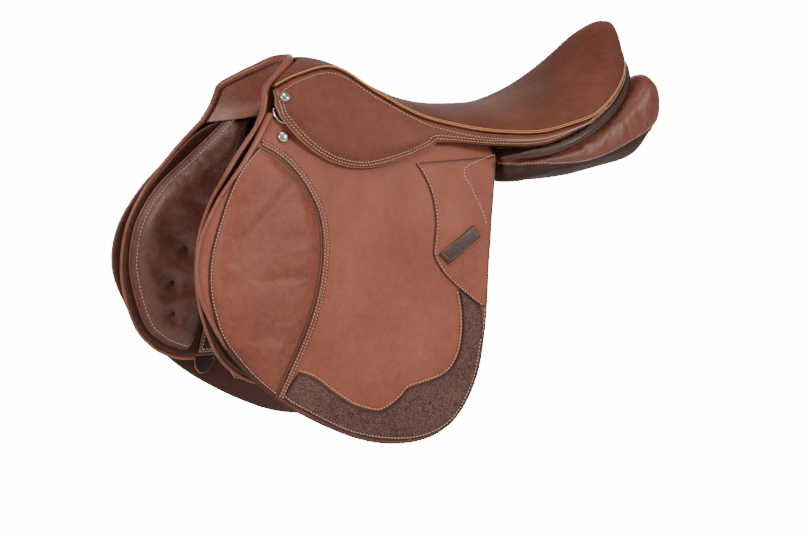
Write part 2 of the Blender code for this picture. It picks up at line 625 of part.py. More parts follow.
def bar_pieces(name, side):
    """Forged stirrup bar with an open rear end, its hinged catch and the catch's pin."""
    low, high = BAR_HEIGHT - BAR_DEPTH / 2, BAR_HEIGHT + BAR_DEPTH / 2
    hook = [(BAR_FRONT, BAR_PLATE[0]), (BAR_REAR + 6, BAR_PLATE[0]), (BAR_REAR + 6, BAR_PLATE[1]),
            (BAR_FRONT + 9, BAR_PLATE[1]), (BAR_FRONT + 7, BAR_INNER - 2), (BAR_FRONT + 10, BAR_INNER),
            (CATCH_PIVOT_X + 4, BAR_INNER), (CATCH_PIVOT_X + 4, BAR_OUTER), (BAR_FRONT + 6, BAR_OUTER),
            (BAR_FRONT + 1.5, BAR_OUTER - 2), (BAR_FRONT, BAR_OUTER - 6)]
    hook = [(x, side * y) for x, y in hook]
    bar = prism("stirrup_bar_" + name, PLAIN["steel"], hook, low, high, metallic=1.0)
    middle = (BAR_INNER + BAR_OUTER) / 2
    slot = [(CATCH_PIVOT_X - 5.2, middle - 1.35), (CATCH_PIVOT_X + 9, middle - 1.35),
            (CATCH_PIVOT_X + 9, middle + 1.35), (CATCH_PIVOT_X - 5.2, middle + 1.35)]
    cut(bar, prism("guide_slot_" + name, PLAIN["steel"], [(x, side * y) for x, y in slot], low - 2, high + 2))
    reach = sorted((side * (BAR_INNER - 3), side * (BAR_OUTER + 3)))

    def disc(radius, sides=12):
        return [(CATCH_PIVOT_X + radius * math.cos(a), BAR_HEIGHT + radius * math.sin(a))
                for a in turns(sides, 0.5)]
    cut(bar, prism("guide_bore_" + name, PLAIN["steel"], disc(1.3), reach[0], reach[1], "y"))
    tail = [(CATCH_PIVOT_X + 4.0 * math.cos(math.radians(a)), BAR_HEIGHT + 4.0 * math.sin(math.radians(a)))
            for a in range(90, 271, 30)]
    thumb_x = CATCH_PIVOT_X + CATCH_LENGTH
    thumb = [(thumb_x, BAR_HEIGHT - 2.4), (thumb_x + 1.5, BAR_HEIGHT), (thumb_x, BAR_HEIGHT + 2.4)]
    faces = sorted((side * (middle - 1.0), side * (middle + 1.0)))
    catch = prism("bar_catch_" + name, PLAIN["steel"], tail + thumb, faces[0], faces[1], "y", metallic=1.0)
    cut(catch, prism("guide_pin_" + name, PLAIN["steel"], disc(1.35), reach[0], reach[1], "y"))
    ends = sorted((side * (BAR_INNER + 0.1), side * (BAR_OUTER - 0.1)))
    prism("catch_pin_" + name, PLAIN["steel"], disc(0.95, 10), ends[0], ends[1], "y", metallic=1.0)


def dee_pieces(name, side):
    """D-ring on a short leather loop, lying between the flap and the skirt."""
    px, pz = DEE_PIVOT
    half = DEE_RADIUS
    turn = [math.radians(a) for a in range(0, -181, -20)]
    ring = [(px + half * math.cos(a), pz - 3.0 + half * 1.15 * math.sin(a)) for a in turn]
    ring += [(px - half, pz), (px - half / 2, pz + 0.4), (px, pz + 0.4), (px + half / 2, pz + 0.4),
             (px + half, pz)]

    def wrapped(x, z):
        return (x, side * (spread(z) + DEE_LIFT), z)
    wire = [wrapped(x, z) for x, z in ring]
    obj = tube("dee_ring_" + name, PLAIN["nickel"], wire, DEE_WIRE, 6, 1.0, closed=True)
    place_origin(obj, (px, side * (spread(pz) + DEE_LIFT), pz))
    width = 5.0
    path = [(pz + 8, 4.6), (pz + 3, 5.8), (pz - 1.0, 6.2), (pz - 3.4, 5.6)]
    outer = [[Vector((px + k * width, side * (spread(z) + lift), z)) for k in (-1, 1)] for z, lift in path]
    inner = [[p - Vector((0, side * 0.9, 0)) for p in row] for row in outer]
    grid_shell("dee_loop_" + name, LEATHER["dark"], outer, inner)


def fasteners(name, side):
    """The domed nail on the band and the domed stud on the flap."""
    s, t = NAIL_AT
    nail = band_point(s, t)
    across = band_point(s + 0.02, t) - band_point(s - 0.02, t)
    nail_out = across.cross(band_point(s, t + 0.2) - band_point(s, t - 0.2)).normalized()
    x, z = STUD_AT
    slope = (spread(z + 5) - spread(z - 5)) / 10
    for piece, at, out in (("skirt_nail_", nail, nail_out * math.copysign(1.0, nail_out.y)),
                           ("flap_stud_", Vector((x, spread(z), z)), Vector((0, 1, -slope)).normalized())):
        base = at + out * FASTENER_LIFT
        dome(piece + name, PLAIN["nickel"], Vector((base.x, side * base.y, base.z)),
             Vector((out.x, side * out.y, out.z)), 6.2, 3.5)


for obj in list(bpy.data.objects):
    bpy.data.objects.remove(obj, do_unlink=True)

tree_pieces()
seat_pieces()
pommel_pieces()
for side_name, side_sign in SIDES.items():
    band_pieces(side_name, side_sign)
    flap_pieces(side_name, side_sign)
    skirt_piece(side_name, side_sign)
    panel_pieces(side_name, side_sign)
    billet_pieces(side_name, side_sign)
    bar_pieces(side_name, side_sign)
    dee_pieces(side_name, side_sign)
    fasteners(side_name, side_sign)
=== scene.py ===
"""English jumping saddle: the finished leather, stitching, padding and metal round the CAD frame.

Lists and sizes are in millimetres unless their name says metres. +X points to the cantle, +Z up,
and the left side is at -Y. A side piece is worked out once, for the right side at +Y as a
half-distance from the centre plane, and its mesh is mirrored for the left.
"""

import math

import bmesh
import bpy
import numpy as np
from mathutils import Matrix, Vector, geometry, noise


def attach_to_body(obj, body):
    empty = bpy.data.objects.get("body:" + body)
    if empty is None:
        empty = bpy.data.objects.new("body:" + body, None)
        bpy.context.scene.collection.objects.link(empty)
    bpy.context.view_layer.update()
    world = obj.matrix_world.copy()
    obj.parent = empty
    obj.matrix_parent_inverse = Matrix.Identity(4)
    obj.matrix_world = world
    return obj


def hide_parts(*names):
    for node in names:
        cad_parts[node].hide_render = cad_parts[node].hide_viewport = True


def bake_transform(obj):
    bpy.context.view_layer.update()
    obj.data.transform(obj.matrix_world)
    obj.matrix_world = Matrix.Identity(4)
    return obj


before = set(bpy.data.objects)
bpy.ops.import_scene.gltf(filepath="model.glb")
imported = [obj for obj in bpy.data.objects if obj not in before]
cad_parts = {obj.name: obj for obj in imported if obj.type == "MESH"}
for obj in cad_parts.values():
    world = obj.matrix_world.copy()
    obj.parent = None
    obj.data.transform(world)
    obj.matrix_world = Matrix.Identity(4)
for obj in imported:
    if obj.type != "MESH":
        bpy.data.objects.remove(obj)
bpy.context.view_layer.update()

MM = 0.001
SIMULATED_FRAMES = 20
STUFFING_PRESSURE = 4.0
SIDES = {"left": -1, "right": 1}
INWARD = (0, -1.0, 0)

# ---------------------------------------------------------------- the maker's shapes
# Half-distance between the outer faces of the two flaps, as (height, half-distance).
SPREAD = [(-300, 121), (-230, 125), (-150, 125), (-70, 118), (0, 104.5), (60, 85), (100, 63), (125, 49)]

FLAP_CURVE = [(-257, 84), (-293, 40), (-331, -2), (-356, -48), (-358, -97), (-331, -154),
              (-272, -211), (-184, -257), (-117, -268), (-68, -252), (-38, -208), (-25, -150),
              (-16, -67), (-6, -13), (5, 36)]
FLAP_TOP = [(3, 56), (-60, 64), (-150, 76), (-225, 92), (-257, 84)]
FLAP_THICKNESS = 4.0
FLAP_FOLD = [(-285, 88, 60), (0, 118, -48)]
SKIRT_FOLD = [(-253, 90, 92), (-72, 103, 48)]

SKIRT_EDGE = [(-252, 104), (-250, 88), (-240, 70), (-225, 53), (-207, 39.5), (-187, 30.5),
              (-165, 26.5), (-140, 28), (-104, 36.5), (-72, 48)]
SKIRT_THICKNESS = 3.2
SKIRT_EDGE_LIFT = 5.0
SKIRT_BULGE = 9.5
SKIRT_BULGE_RUN = 20.0
SKIRT_FRONT_RISE = 4.5
SKIRT_FRONT_RUN = (-236, -208)
SKIRT_GRID = (230, 46)
SKIRT_ROWS = (3.9, 7.2)
FIRST_STITCH = 4
WELT_DROP = 4.2
WELT_RADIUS = 0.55
WELT_BED_RADIUS = 2.3
SEAT_GRID = (150, 96)
SEAT_LEATHER = 2.2

SEAT_CENTRE = [(-193, 0, 140), (-180, 0, 142), (-150, 0, 134), (-115, 0, 113), (-80, 0, 98),
               (-41, 0, 90), (0, 0, 88), (45, 0, 90), (85, 0, 101), (115, 0, 116), (142, 0, 138),
               (164, 0, 162), (179, 0, 174), (190, 0, 178), (197, 0, 175)]
SEAT_EDGE = [(-248, 63.5, 114), (-216, 60, 127), (-172, 56, 133), (-128, 69, 106), (-86, 85, 82),
             (-41, 101, 69), (0, 110, 63), (45, 117, 62), (85, 117, 70), (118, 110, 79),
             (150, 94, 97), (176, 72, 117), (193, 46, 135), (202, 22, 147), (205, 0, 151)]
BAND_EDGE = [(-251, 79, 95), (-228, 88, 87), (-185, 92, 76.5), (-134, 97, 64.5), (-92, 98.5, 54),
             (-45, 98, 50), (0, 107, 46), (45, 120, 46), (85, 121, 58), (118, 112.5, 72.5),
             (151, 93, 93), (178, 70.5, 112.5), (194, 45, 130), (202, 21, 142), (204.5, 0, 146)]
ROLL_CURVE = [(2, 110, 33), (26, 120, 36.5), (53, 125.5, 41), (80, 126.5, 50), (105, 121, 60.5),
              (133, 108, 74), (164, 87, 92), (189, 60, 113), (202, 31, 129.5), (206, 5.2, 135.5)]
ROLL_RADIUS = 4.9
BINDING_CURVE = [(-200, 0, 141), (-209, 19, 139), (-223, 34, 130.5), (-239, 47, 121),
                 (-255, 59, 110), (-258, 64, 100), (-262.5, 68.5, 86), (-271, 72.5, 71)]
BINDING_RADIUS = 4.4
FACING_INNER = [(-174, 0, 110), (-180, 16, 108), (-198, 28, 94), (-222, 34, 78)]
# The same roll runs on from the binding as the front edge of the sweat flap.
EDGE_ROLL = [(-271, 72.5, 71), (-284, 77, 57), (-299, 81.5, 40), (-316, 87.5, 18), (-333, 92.3, -6),
             (-349, 99.3, -42), (-354, 105.4, -84), (-349, 108.8, -121), (-334.3, 110.3, -159),
             (-313.8, 110.4, -180.7), (-290.5, 110.3, -191.8), (-268, 110.3, -195)]

# Panel cushions: (x, y, z, half-width, half-depth, slope in degrees) from front to rear.
PANEL_SECTIONS = [(-215, 61, 31, 22, 6, 68), (-208, 61, 31, 27, 9, 68), (-180, 61, 30, 28, 10, 66),
                  (-110, 60, 30, 28, 11, 60), (-40, 64, 27, 29, 14, 30), (-2, 61, 27, 29, 13, 28),
                  (9, 63, 26, 31, 14, 26), (32, 76, 24, 44, 16, 5), (90, 77, 30, 46, 19, -3),
                  (145, 71, 46, 42, 26, -7), (182, 63, 62, 38, 35, -10), (204, 59, 82, 33, 36, -10),
                  (219, 57, 86, 24, 26, -6), (225.5, 57, 87.5, 14, 16, -3), (228, 57, 88, 5, 6, 0)]
PANEL_SEAM = [(0, 24), (46, 25), (78, 25), (100, 26), (122, 30), (148, 38), (180, 50), (227, 66)]
PANEL_FRONT = [(-246, 77), (-262, 58), (-290, 30), (-320, 0), (-341, -38), (-347, -80), (-341, -116),
               (-327, -154), (-309, -172), (-291, -181), (-276, -184), (-268, -172)]
PANEL_FRONT_REAR = [(-268, -172), (-258, -140), (-238, -92), (-212, -48), (-180, -12), (-165, 0),
                    (-216, 5), (-219, 30), (-221, 77)]
PANEL_TOP_COLUMNS, PANEL_GUSSET_COLUMNS = 46, 26
PANEL_OUTER = -16.6
PANEL_DEPTH = 24.0
TUFTS = [(-288, -69), (-302, -107), (-301, -142)]
SWEAT_CURVE = [(-267, 66), (-282, 56), (-297, 40), (-315, 18), (-332, -6), (-348, -42),
               (-353, -84), (-348, -120.5), (-333, -158), (-312.5, -179), (-290, -190), (-272, -193)]
SWEAT_TOP = [(-88, 34), (-200, 40), (-236, 74), (-251, 75), (-260, 69), (-267, 66)]
SWEAT_FOOT = [(-272, -193), (-105, -193), (-90, -180), (-84, -60), (-84, 10), (-88, 34)]
SWEAT_OUTER = -13.4
SWEAT_THICKNESS = 2.6
GUARD_OUTER = SWEAT_OUTER - SWEAT_THICKNESS - 0.4
GUARD = [(-253, -143), (-263, -189), (-108, -189), (-104, -143)]

KNEE_PAD = [(-276, 52), (-300, 30), (-322, -4), (-342, -52), (-347, -86), (-343, -117),
            (-332, -146), (-303, -182), (-275, -206), (-262, -180), (-246, -149), (-234, -122),
            (-224, -91), (-218, -58), (-218, -26), (-226, 0), (-240, 24), (-257, 41)]
PAD_THICKNESS = 11.0
PAD_LIFT = 0.4
PAD_COVER = 1.9
PAD_BORDER = 4.2
PAD_STRIP = 9.6
PAD_CREASE = [(-236, 22), (-262, -2), (-292, -28), (-318, -66)]
GRIP_INNER = [(-249, -183), (-231, -190), (-208, -207), (-185, -222), (-160, -230), (-146, -228),
              (-129, -217), (-120, -208), (-104, -204), (-82, -198), (-68, -189), (-58, -171),
              (-54, -149), (-54, -127), (-57, -105)]
GRIP_OUTER = [(-30, -160), (-41, -207), (-69, -249), (-117, -264), (-184, -253), (-250, -220),
              (-267, -208.5)]
GRIP_CORNER = (-30, -128)
REAR_PATCH = [(-96, 30), (-87, 13), (-81, -8), (-80, -33), (-84, -56), (-85, -69), (-75, -87),
              (-59, -103), (-31, -125)]
REAR_PATCH_EDGE = [(-31, -125), (-24, -126), (-19, -80), (-11, -30), (-0.5, 20), (3, 34)]
VEE_STITCH = [(-1, 36), (-38, 22), (-32, 0), (-22, -24), (-19, -39)]
FLAP_TAB = [(-80, -67), (-36, -38), (-28, -50), (-69, -78)]

BILLETS = {"front": ((-190, 23), (-256, -214), -5.3), "middle": ((-150, 19), (-214, -222), -9.5),
           "rear": ((-110, 15), (-160, -222), -5.3)}
BILLET_WIDTH = 25.0
BILLET_THICKNESS = 3.0
BILLET_HOLES = 12

NAIL_AT = (0.035, 0.60)
STUD_AT = (-246.5, 61)
DEE_PIVOT = (-242, 90)
DEE_RADIUS = 9.6
DEE_WIRE = 1.4
DEE_LIFT = 2.9
HEAD_RADIUS = 6.3
HEAD_HEIGHT = 3.4

# Layers on a side: height of the outer face above the flap's, thickness, and radius of the edge.
LAYERS = {"flap": (0.0, FLAP_THICKNESS, 2.4), "pad": (PAD_LIFT + PAD_COVER, PAD_COVER, 1.2),
          "strip": (1.2, 1.0, 0.9), "grip": (2.2, 1.8, 1.4), "rear": (1.8, 1.4, 1.0),
          "label": (4.4, 2.2, 1.2), "sweat_flap": (SWEAT_OUTER, SWEAT_THICKNESS, 1.3),
          "guard": (GUARD_OUTER, 2.0, 1.0)}
EDGE_STEPS = (0.5, 1.3, 2.6, 4.6)             # depths of the rings of points inside an edge
# Rows of stitches: pitch, length of one stitch, and its width.
STITCH = {"skirt": (3.6, 2.6, 0.85), "welt": (3.6, 2.6, 0.8), "flap_edge": (4.6, 3.1, 1.2),
          "pad": (3.6, 2.6, 0.95), "strip": (3.6, 2.5, 0.9), "grip": (3.8, 2.9, 0.95),
          "rear": (3.9, 2.9, 0.95), "label": (2.6, 1.9, 0.6), "panel": (3.6, 2.7, 0.8),
          "front_panel": (4.2, 3.0, 0.95), "guard": (4.0, 3.0, 1.1), "billet": (4.5, 3.2, 0.8)}

# Camera and lights, in metres, degrees and watts.
CAMERA_TARGET = (-0.06003, 0, -0.09536)
CAMERA_AZIMUTH, CAMERA_ELEVATION, CAMERA_AWAY = -27, 6, 3.2
CAMERA_LENS, CAMERA_SENSOR = 128.25, 36
SOFTBOXES = {"front_softbox": ((-2.5, -0.9, 0.9), 1.0, 42), "key_softbox": ((1.5, -2.4, 1.5), 1.0, 62),
             "top_softbox": ((-0.2, -0.7, 2.4), 0.9, 16), "rim_softbox": ((1.4, 2.2, 1.0), 1.4, 12)}
DAYLIGHT = (1.0, 0.995, 0.985, 1)
WORLD_LIGHT, WORLD_SEEN, FLOOR_SEEN = 0.36, 16.0, 15.0
FLOOR_Z, FLOOR_RADIUS = -0.62, 90.0


# ---------------------------------------------------------------- curves and distances
def value_at(knots, x):
    """Smooth values at the array x through (x, value) knots in rising order of x."""
    kx, kv = np.array(knots, float).T
    x = np.clip(x, kx[0], kx[-1])
    i = np.clip(np.searchsorted(kx, x, side="right") - 1, 0, len(kx) - 2)
    order = np.arange(len(kx))
    before, after = np.maximum(order - 1, 0), np.minimum(order + 1, len(kx) - 1)
    slope = (kv[after] - kv[before]) / (kx[after] - kx[before])
    width = kx[i + 1] - kx[i]
    t = (x - kx[i]) / width
    return (kv[i] * (2 * t**3 - 3 * t**2 + 1) + slope[i] * width * (t**3 - 2 * t**2 + t)
            + kv[i + 1] * (3 * t**2 - 2 * t**3) + slope[i + 1] * width * (t**3 - t**2))


def along(knots, s):
    """Points at s, an array of 0 to 1, on the smooth curve through the knots."""
    k = np.array(knots, float)
    n = len(k) - 1
    s = np.clip(np.asarray(s, float), 0, 1) * n
    i = np.minimum(s.astype(int), n - 1)
    t = (s - i)[..., None]
    a, b, c, d = (k[np.clip(i + o, 0, n)] for o in (-1, 0, 1, 2))
    return 0.5 * (2 * b + (c - a) * t + (2 * a - 5 * b + 4 * c - d) * t**2
                  + (3 * b - a - 3 * c + d) * t**3)


def lengths(run):
    """Length along a run of points up to each of them."""
    return np.concatenate([[0], np.cumsum(np.linalg.norm(np.diff(run, axis=0), axis=1))])


def even(run, gap):
    """The run of points again, evenly spaced at about gap."""
    run = np.asarray(run, float)
    total = lengths(run)
    count = max(1, round(total[-1] / gap))
    at = np.linspace(0, total[-1], count + 1)
    return np.stack([np.interp(at, total, run[:, k]) for k in range(run.shape[1])], axis=1)


def curve(knots, gap=3.0):
    """Evenly spaced points on the smooth curve through the knots."""
    return even(along(knots, np.linspace(0, 1, 12 * len(knots))), gap)


def joined(*runs):
    """One closed outline from runs that each start where the last one ends."""
    points = np.concatenate([run[:-1] for run in runs[:-1]] + [runs[-1]])
    return points[:-1] if np.allclose(points[0], points[-1], atol=0.2) else points


def polygon(points, gap=3.0):
    """A closed outline of straight stretches, evenly filled."""
    ends = list(points[1:]) + [points[0]]
    return joined(*[even([a, b], gap) for a, b in zip(points, ends)])


def distance(points, run, closed=False):
    """Distance from each point to a run of points."""
    run = np.asarray(run, float)
    if closed:
        run = np.vstack([run, run[:1]])
    best = np.full(len(points), 1e9)
    for a, b in zip(run, run[1:]):
        d = b - a
        t = np.clip(((points - a) @ d) / max(d @ d, 1e-9), 0, 1)
        best = np.minimum(best, np.linalg.norm(points - a - t[:, None] * d, axis=1))
    return best


def inside(xz, outline):
    """Which points lie inside the closed outline."""
    a, b = outline, np.roll(outline, -1, axis=0)
    found = np.zeros(len(xz), bool)
    for (x1, z1), (x2, z2) in zip(a, b):
        if z1 != z2:
            across = ((z1 > xz[:, 1]) != (z2 > xz[:, 1]))
            found ^= across & (xz[:, 0] < (x2 - x1) * (xz[:, 1] - z1) / (z2 - z1) + x1)
    return found


def spread(z):
    """Half-distance of the flaps' outer faces at a height."""
    return value_at(SPREAD, z)


def on_side(xz, lift):
    """Points at (x, z) on the side's curve, lift above the flap's outer face."""
    return np.stack([xz[:, 0], spread(xz[:, 1]) + lift, xz[:, 1]], axis=1)


def side_at(lift):
    """The surface that lies lift above the flap's outer face, as a function of (x, z)."""
    return lambda xz: spread(xz[:, 1]) + lift


def drawn_in(corners, along_x, along_z):
    """Corners moved towards their middle by a share in each direction."""
    middle = np.mean(corners, axis=0)
    return middle + (corners - middle) * (along_x, along_z)


def both_halves(run):
    """A run from the centre plane outwards, with its mirror image in front of it."""
    return np.concatenate([(run * (1, -1, 1))[:0:-1], run])


def crossing(values, level):
    """Index where the values first reach a level, and the share of the step up to it."""
    k = max(1, int(np.argmax(values >= level)))
    return k, np.clip((level - values[k - 1]) / (values[k] - values[k - 1] + 1e-9), 0, 1)


def bell(d, width):
    return np.exp(-(d / width) ** 2)


def rounded(d, radius):
    """0 at the edge and 1 from radius inwards, in a quarter circle."""
    return np.sqrt(np.maximum(0.0, 1 - (1 - np.clip(d / radius, 0, 1)) ** 2))


def lumps(points, size, seed=0.0):
    """Smooth unevenness of about -1 to 1 at each point, of the given size."""
    shift = Vector((seed * 17.3, seed * 5.1, seed * 9.7))
    return np.array([noise.noise(Vector(p) / size + shift) for p in points])


def lumps_on(xz, size, seed):
    """The same unevenness over flat points."""
    return lumps(np.column_stack([xz, np.zeros(len(xz))]), size, seed)


def groove(deep, at, width):
    """The line that a row of stitches presses into a layer, at a depth inside its edge."""
    return lambda xz, d: -deep * bell(d - at, width)


# ---------------------------------------------------------------- meshes
def as_mesh(name, points, faces, material, rim=None):
    """A smooth mesh object from millimetre points, with the share of worn edge at each point."""
    mesh = bpy.data.meshes.new(name)
    mesh.from_pydata((np.asarray(points) * MM).tolist(), [], [list(map(int, f)) for f in faces])
    attribute = mesh.attributes.new("rim", "FLOAT", "POINT")
    if rim is not None:
        attribute.data.foreach_set("value", np.asarray(rim, np.float32))
    mesh.shade_smooth()
    for one in material if isinstance(material, list) else [material]:
        mesh.materials.append(one)
    obj = bpy.data.objects.new(name, mesh)
    bpy.context.collection.objects.link(obj)
    return obj


def turned(faces):
    """The same faces seen from the other side."""
    return [tuple(reversed(f)) for f in faces]


def pair(name, points, faces, material, rim=None):
    """The piece on both sides, from its points on the right side."""
    points = np.asarray(points, float)
    return {"right": as_mesh(name + "_right", points, faces, material, rim),
            "left": as_mesh(name + "_left", points * (1, -1, 1), turned(faces), material, rim)}


def attach(pieces, where, nodes=()):
    """Put a pair on its body; a flap or skirt piece only has its place baked into its mesh, on no body."""
    for side, obj in pieces.items():
        fold = {"flap": FLAP_FOLD, "skirt": SKIRT_FOLD}.get(where)
        if fold:
            middle = Vector([(a + b) / 2 for a, b in zip(*fold)])
            middle.y *= SIDES[side]
            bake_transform(obj)
        else:
            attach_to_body(obj, "root" if where == "root" else f"{where}_{side}")
        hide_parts(*[f"{node}_{side}" for node in nodes])
    return pieces


def sew(name, shape, material, where, nodes=(), worn=1.0):
    """Both sides' piece from a shape of points, faces and perhaps its worn rim, put on its body."""
    points, faces, *rim = shape
    return attach(pair(name, points, faces, material, rim[0] * worn if rim else None), where, nodes)


def fill(outline, gap, rims=EDGE_STEPS, holes=()):
    """Points and triangles over an outline in (x, z), closer near its edge, and edge distances."""
    x, z = outline.T
    if np.sum(x * np.roll(z, -1) - np.roll(x, -1) * z) < 0:
        outline = outline[::-1]
    loops = [outline] + [np.array([(cx + r * math.cos(a), cz + r * math.sin(a))
                                   for a in np.linspace(0, 2 * math.pi, 14, endpoint=False)])
                         for cx, cz, r in holes]

    def to_edge(points):
        return np.min([distance(points, loop, closed=True) for loop in loops], axis=0)
    points = list(loops)
    direction = np.roll(outline, -1, axis=0) - np.roll(outline, 1, axis=0)
    inward = np.stack([-direction[:, 1], direction[:, 0]], axis=1)
    inward /= np.linalg.norm(inward, axis=1)[:, None]
    for depth in rims:
        ring = outline + inward * depth
        points.append(ring[to_edge(ring) > 0.93 * depth])
    low, high = outline.min(axis=0), outline.max(axis=0)
    rows = np.arange(low[1], high[1], gap * 0.87)
    grid = np.array([(px + (k % 2) * gap / 2, pz) for k, pz in enumerate(rows)
                     for px in np.arange(low[0], high[0], gap)])
    grid = grid[inside(grid, outline)]
    points.append(grid[to_edge(grid) > rims[-1] + gap * 0.6])
    edges, start = [], 0
    for loop in loops:
        n = len(loop)
        edges += [(start + k, start + (k + 1) % n) for k in range(n)]
        start += n
    flat = [Vector(p) for p in np.concatenate(points)]
    found = geometry.delaunay_2d_cdt(flat, edges, [list(range(len(outline)))], 1, 1e-4)
    xz = np.array([tuple(v) for v in found[0]])
    faces = np.array([f for f in found[2] if len(f) == 3])
    for cx, cz, r in holes:
        centre = xz[faces].mean(axis=1)
        faces = faces[np.hypot(centre[:, 0] - cx, centre[:, 1] - cz) > r * 0.95]
    d = to_edge(xz)
    d[d < 0.02] = 0.0
    return xz, faces, d


def slab(xz, faces, d, outer, inner):
    """A closed layer over flat points: both heights meet where the edge distance is 0."""
    edge = d == 0
    faces = faces[~edge[faces].all(axis=1)]
    high = outer(xz, d)
    low = inner(xz, d)
    high = np.where(edge, (high + low) / 2, high)
    back = np.cumsum(~edge) - 1 + len(xz)
    back[edge] = np.nonzero(edge)[0]
    points = np.concatenate([np.stack([xz[:, 0], high, xz[:, 1]], axis=1),
                             np.stack([xz[:, 0], low, xz[:, 1]], axis=1)[~edge]])
    front = [tuple(f[::-1]) for f in faces]
    rear = [tuple(back[f]) for f in faces]
    used = np.zeros(len(points), bool)
    used[np.array(front + rear).ravel()] = True
    index = np.cumsum(used) - 1
    rim = np.concatenate([bell(d, 2.2), bell(d[~edge], 2.2)])[used]
    return points[used], [tuple(index[list(f)]) for f in front + rear], rim


def sheet_of(outline, gap, base, thickness, radius, relief=None, under=None, holes=(), rims=EDGE_STEPS):
    """A leather layer on the side's curve: base is its outer face, above the flap's."""
    xz, faces, d = fill(outline, gap, rims, holes)

    def outer(p, e):
        face = spread(p[:, 1]) + base - thickness / 2 * (1 - rounded(e, radius))
        return face + relief(p, e) if relief else face

    def inner(p, e):
        if under:
            return under(p, e)
        return spread(p[:, 1]) + base - thickness + thickness / 2 * (1 - rounded(e, radius))
    return slab(xz, faces, d, outer, inner)


def grid_faces(rows, cols, around=False):
    """Quads over a grid of points, rows by cols; around joins the last column to the first."""
    last = cols if around else cols - 1
    return [(i * cols + j, (i + 1) * cols + j, (i + 1) * cols + (j + 1) % cols, i * cols + (j + 1) % cols)
            for i in range(rows - 1) for j in range(last)]


def close_grid(outer, inner):
    """A closed shell between two grids of points."""
    rows, cols = outer.shape[:2]
    n = rows * cols
    faces = grid_faces(rows, cols)
    faces += [tuple(n + k for k in reversed(f)) for f in faces]
    loop = ([(0, j) for j in range(cols)] + [(i, cols - 1) for i in range(1, rows)]
            + [(rows - 1, j) for j in range(cols - 2, -1, -1)] + [(i, 0) for i in range(rows - 2, 0, -1)])
    for (i, j), (k, m) in zip(loop, loop[1:] + loop[:1]):
        a, b = i * cols + j, k * cols + m
        faces.append((a, b, n + b, n + a))
    return np.concatenate([outer.reshape(-1, 3), inner.reshape(-1, 3)]), faces


def frames(path, closed=False):
    """Directions along, across and up at each point of a path, without twist."""
    path = np.asarray(path, float)
    if closed:
        ahead = np.roll(path, -1, axis=0) - np.roll(path, 1, axis=0)
    else:
        ahead = np.gradient(path, axis=0)
    ahead /= np.linalg.norm(ahead, axis=1)[:, None]
    up = np.array((0.13, 0.21, 0.97))
    ups = []
    for direction in ahead:
        up = up - direction * (up @ direction)
        up /= np.linalg.norm(up)
        ups.append(up)
    ups = np.array(ups)
    return ahead, np.cross(ahead, ups), ups


def tube(path, radius, sides=12, closed=False):
    """A round cord through the points with domed ends; radius may differ along it."""
    path = np.asarray(path, float)
    radius = np.broadcast_to(np.asarray(radius, float), len(path)).copy()
    ahead, across, up = frames(path, closed)
    if not closed:
        for end in (0, -1):
            sign = -1 if end == 0 else 1
            caps = [path[end] + sign * ahead[end] * radius[end] * k for k in (0.6, 0.95)]
            shrink = [radius[end] * k for k in (0.8, 0.3)]
            where = 0 if end == 0 else len(path)
            order = (1, 0) if end == 0 else (0, 1)
            path = np.insert(path, where, [caps[k] for k in order], axis=0)
            radius = np.insert(radius, where, [shrink[k] for k in order])
            across = np.insert(across, where, [across[end]] * 2, axis=0)
            up = np.insert(up, where, [up[end]] * 2, axis=0)
    turn = np.linspace(0, 2 * math.pi, sides, endpoint=False)
    rings = (path[:, None] + radius[:, None, None] * (across[:, None] * np.cos(turn)[:, None]
                                                      + up[:, None] * np.sin(turn)[:, None]))
    rows = len(path)
    faces = grid_faces(rows, sides, around=True)
    if closed:
        faces += [((rows - 1) * sides + j, j, (j + 1) % sides, (rows - 1) * sides + (j + 1) % sides)
                  for j in range(sides)]
    else:
        faces += [tuple(range(sides)), tuple((rows - 1) * sides + j for j in reversed(range(sides)))]
    return rings.reshape(-1, 3), turned(faces)


def merged(parts):
    """Several (points, faces) shapes as one."""
    points, faces, start = [], [], 0
    for p, f in parts:
        points.append(p)
        faces += [tuple(start + k for k in face) for face in f]
        start += len(p)
    return np.concatenate(points), faces


def stuffed(points, faces, held, most, spare):
    """A sewn cover blown up by its stuffing: cloth with spare leather, held at its seams.

    held marks the points that stay, most is how far the others may move, and spare is the share
    of extra leather in the cover.
    """
    cover = bpy.data.objects.new("cover", bpy.data.meshes.new("cover"))
    cover.data.from_pydata((points * MM).tolist(), [], [list(f) for f in faces])
    bpy.context.collection.objects.link(cover)
    cover.vertex_groups.new(name="held").add(np.nonzero(held)[0].tolist(), 1.0, "REPLACE")
    cloth = cover.modifiers.new("cloth", "CLOTH")
    cloth.point_cache.frame_start, cloth.point_cache.frame_end = 1, SIMULATED_FRAMES
    settings = cloth.settings
    settings.vertex_group_mass = "held"
    settings.use_pressure = True
    settings.uniform_pressure_force = STUFFING_PRESSURE
    settings.shrink_min = -spare
    settings.bending_stiffness = 0.6
    settings.air_damping = 4.0
    settings.effector_weights.gravity = 0
    cloth.collision_settings.use_collision = False
    for step in range(1, SIMULATED_FRAMES + 1):
        bpy.context.scene.frame_set(step)
    found = cover.evaluated_get(bpy.context.evaluated_depsgraph_get()).data
    swollen = np.empty(len(points) * 3, np.float32)
    found.vertices.foreach_get("co", swollen)
    move = swollen.reshape(-1, 3) / MM - points
    bpy.context.scene.frame_set(1)
    bpy.data.objects.remove(cover)
    far = np.linalg.norm(move, axis=1)[:, None]
    return points + move * most * np.tanh(far / most) / np.maximum(far, 1e-6) * ~held[:, None]


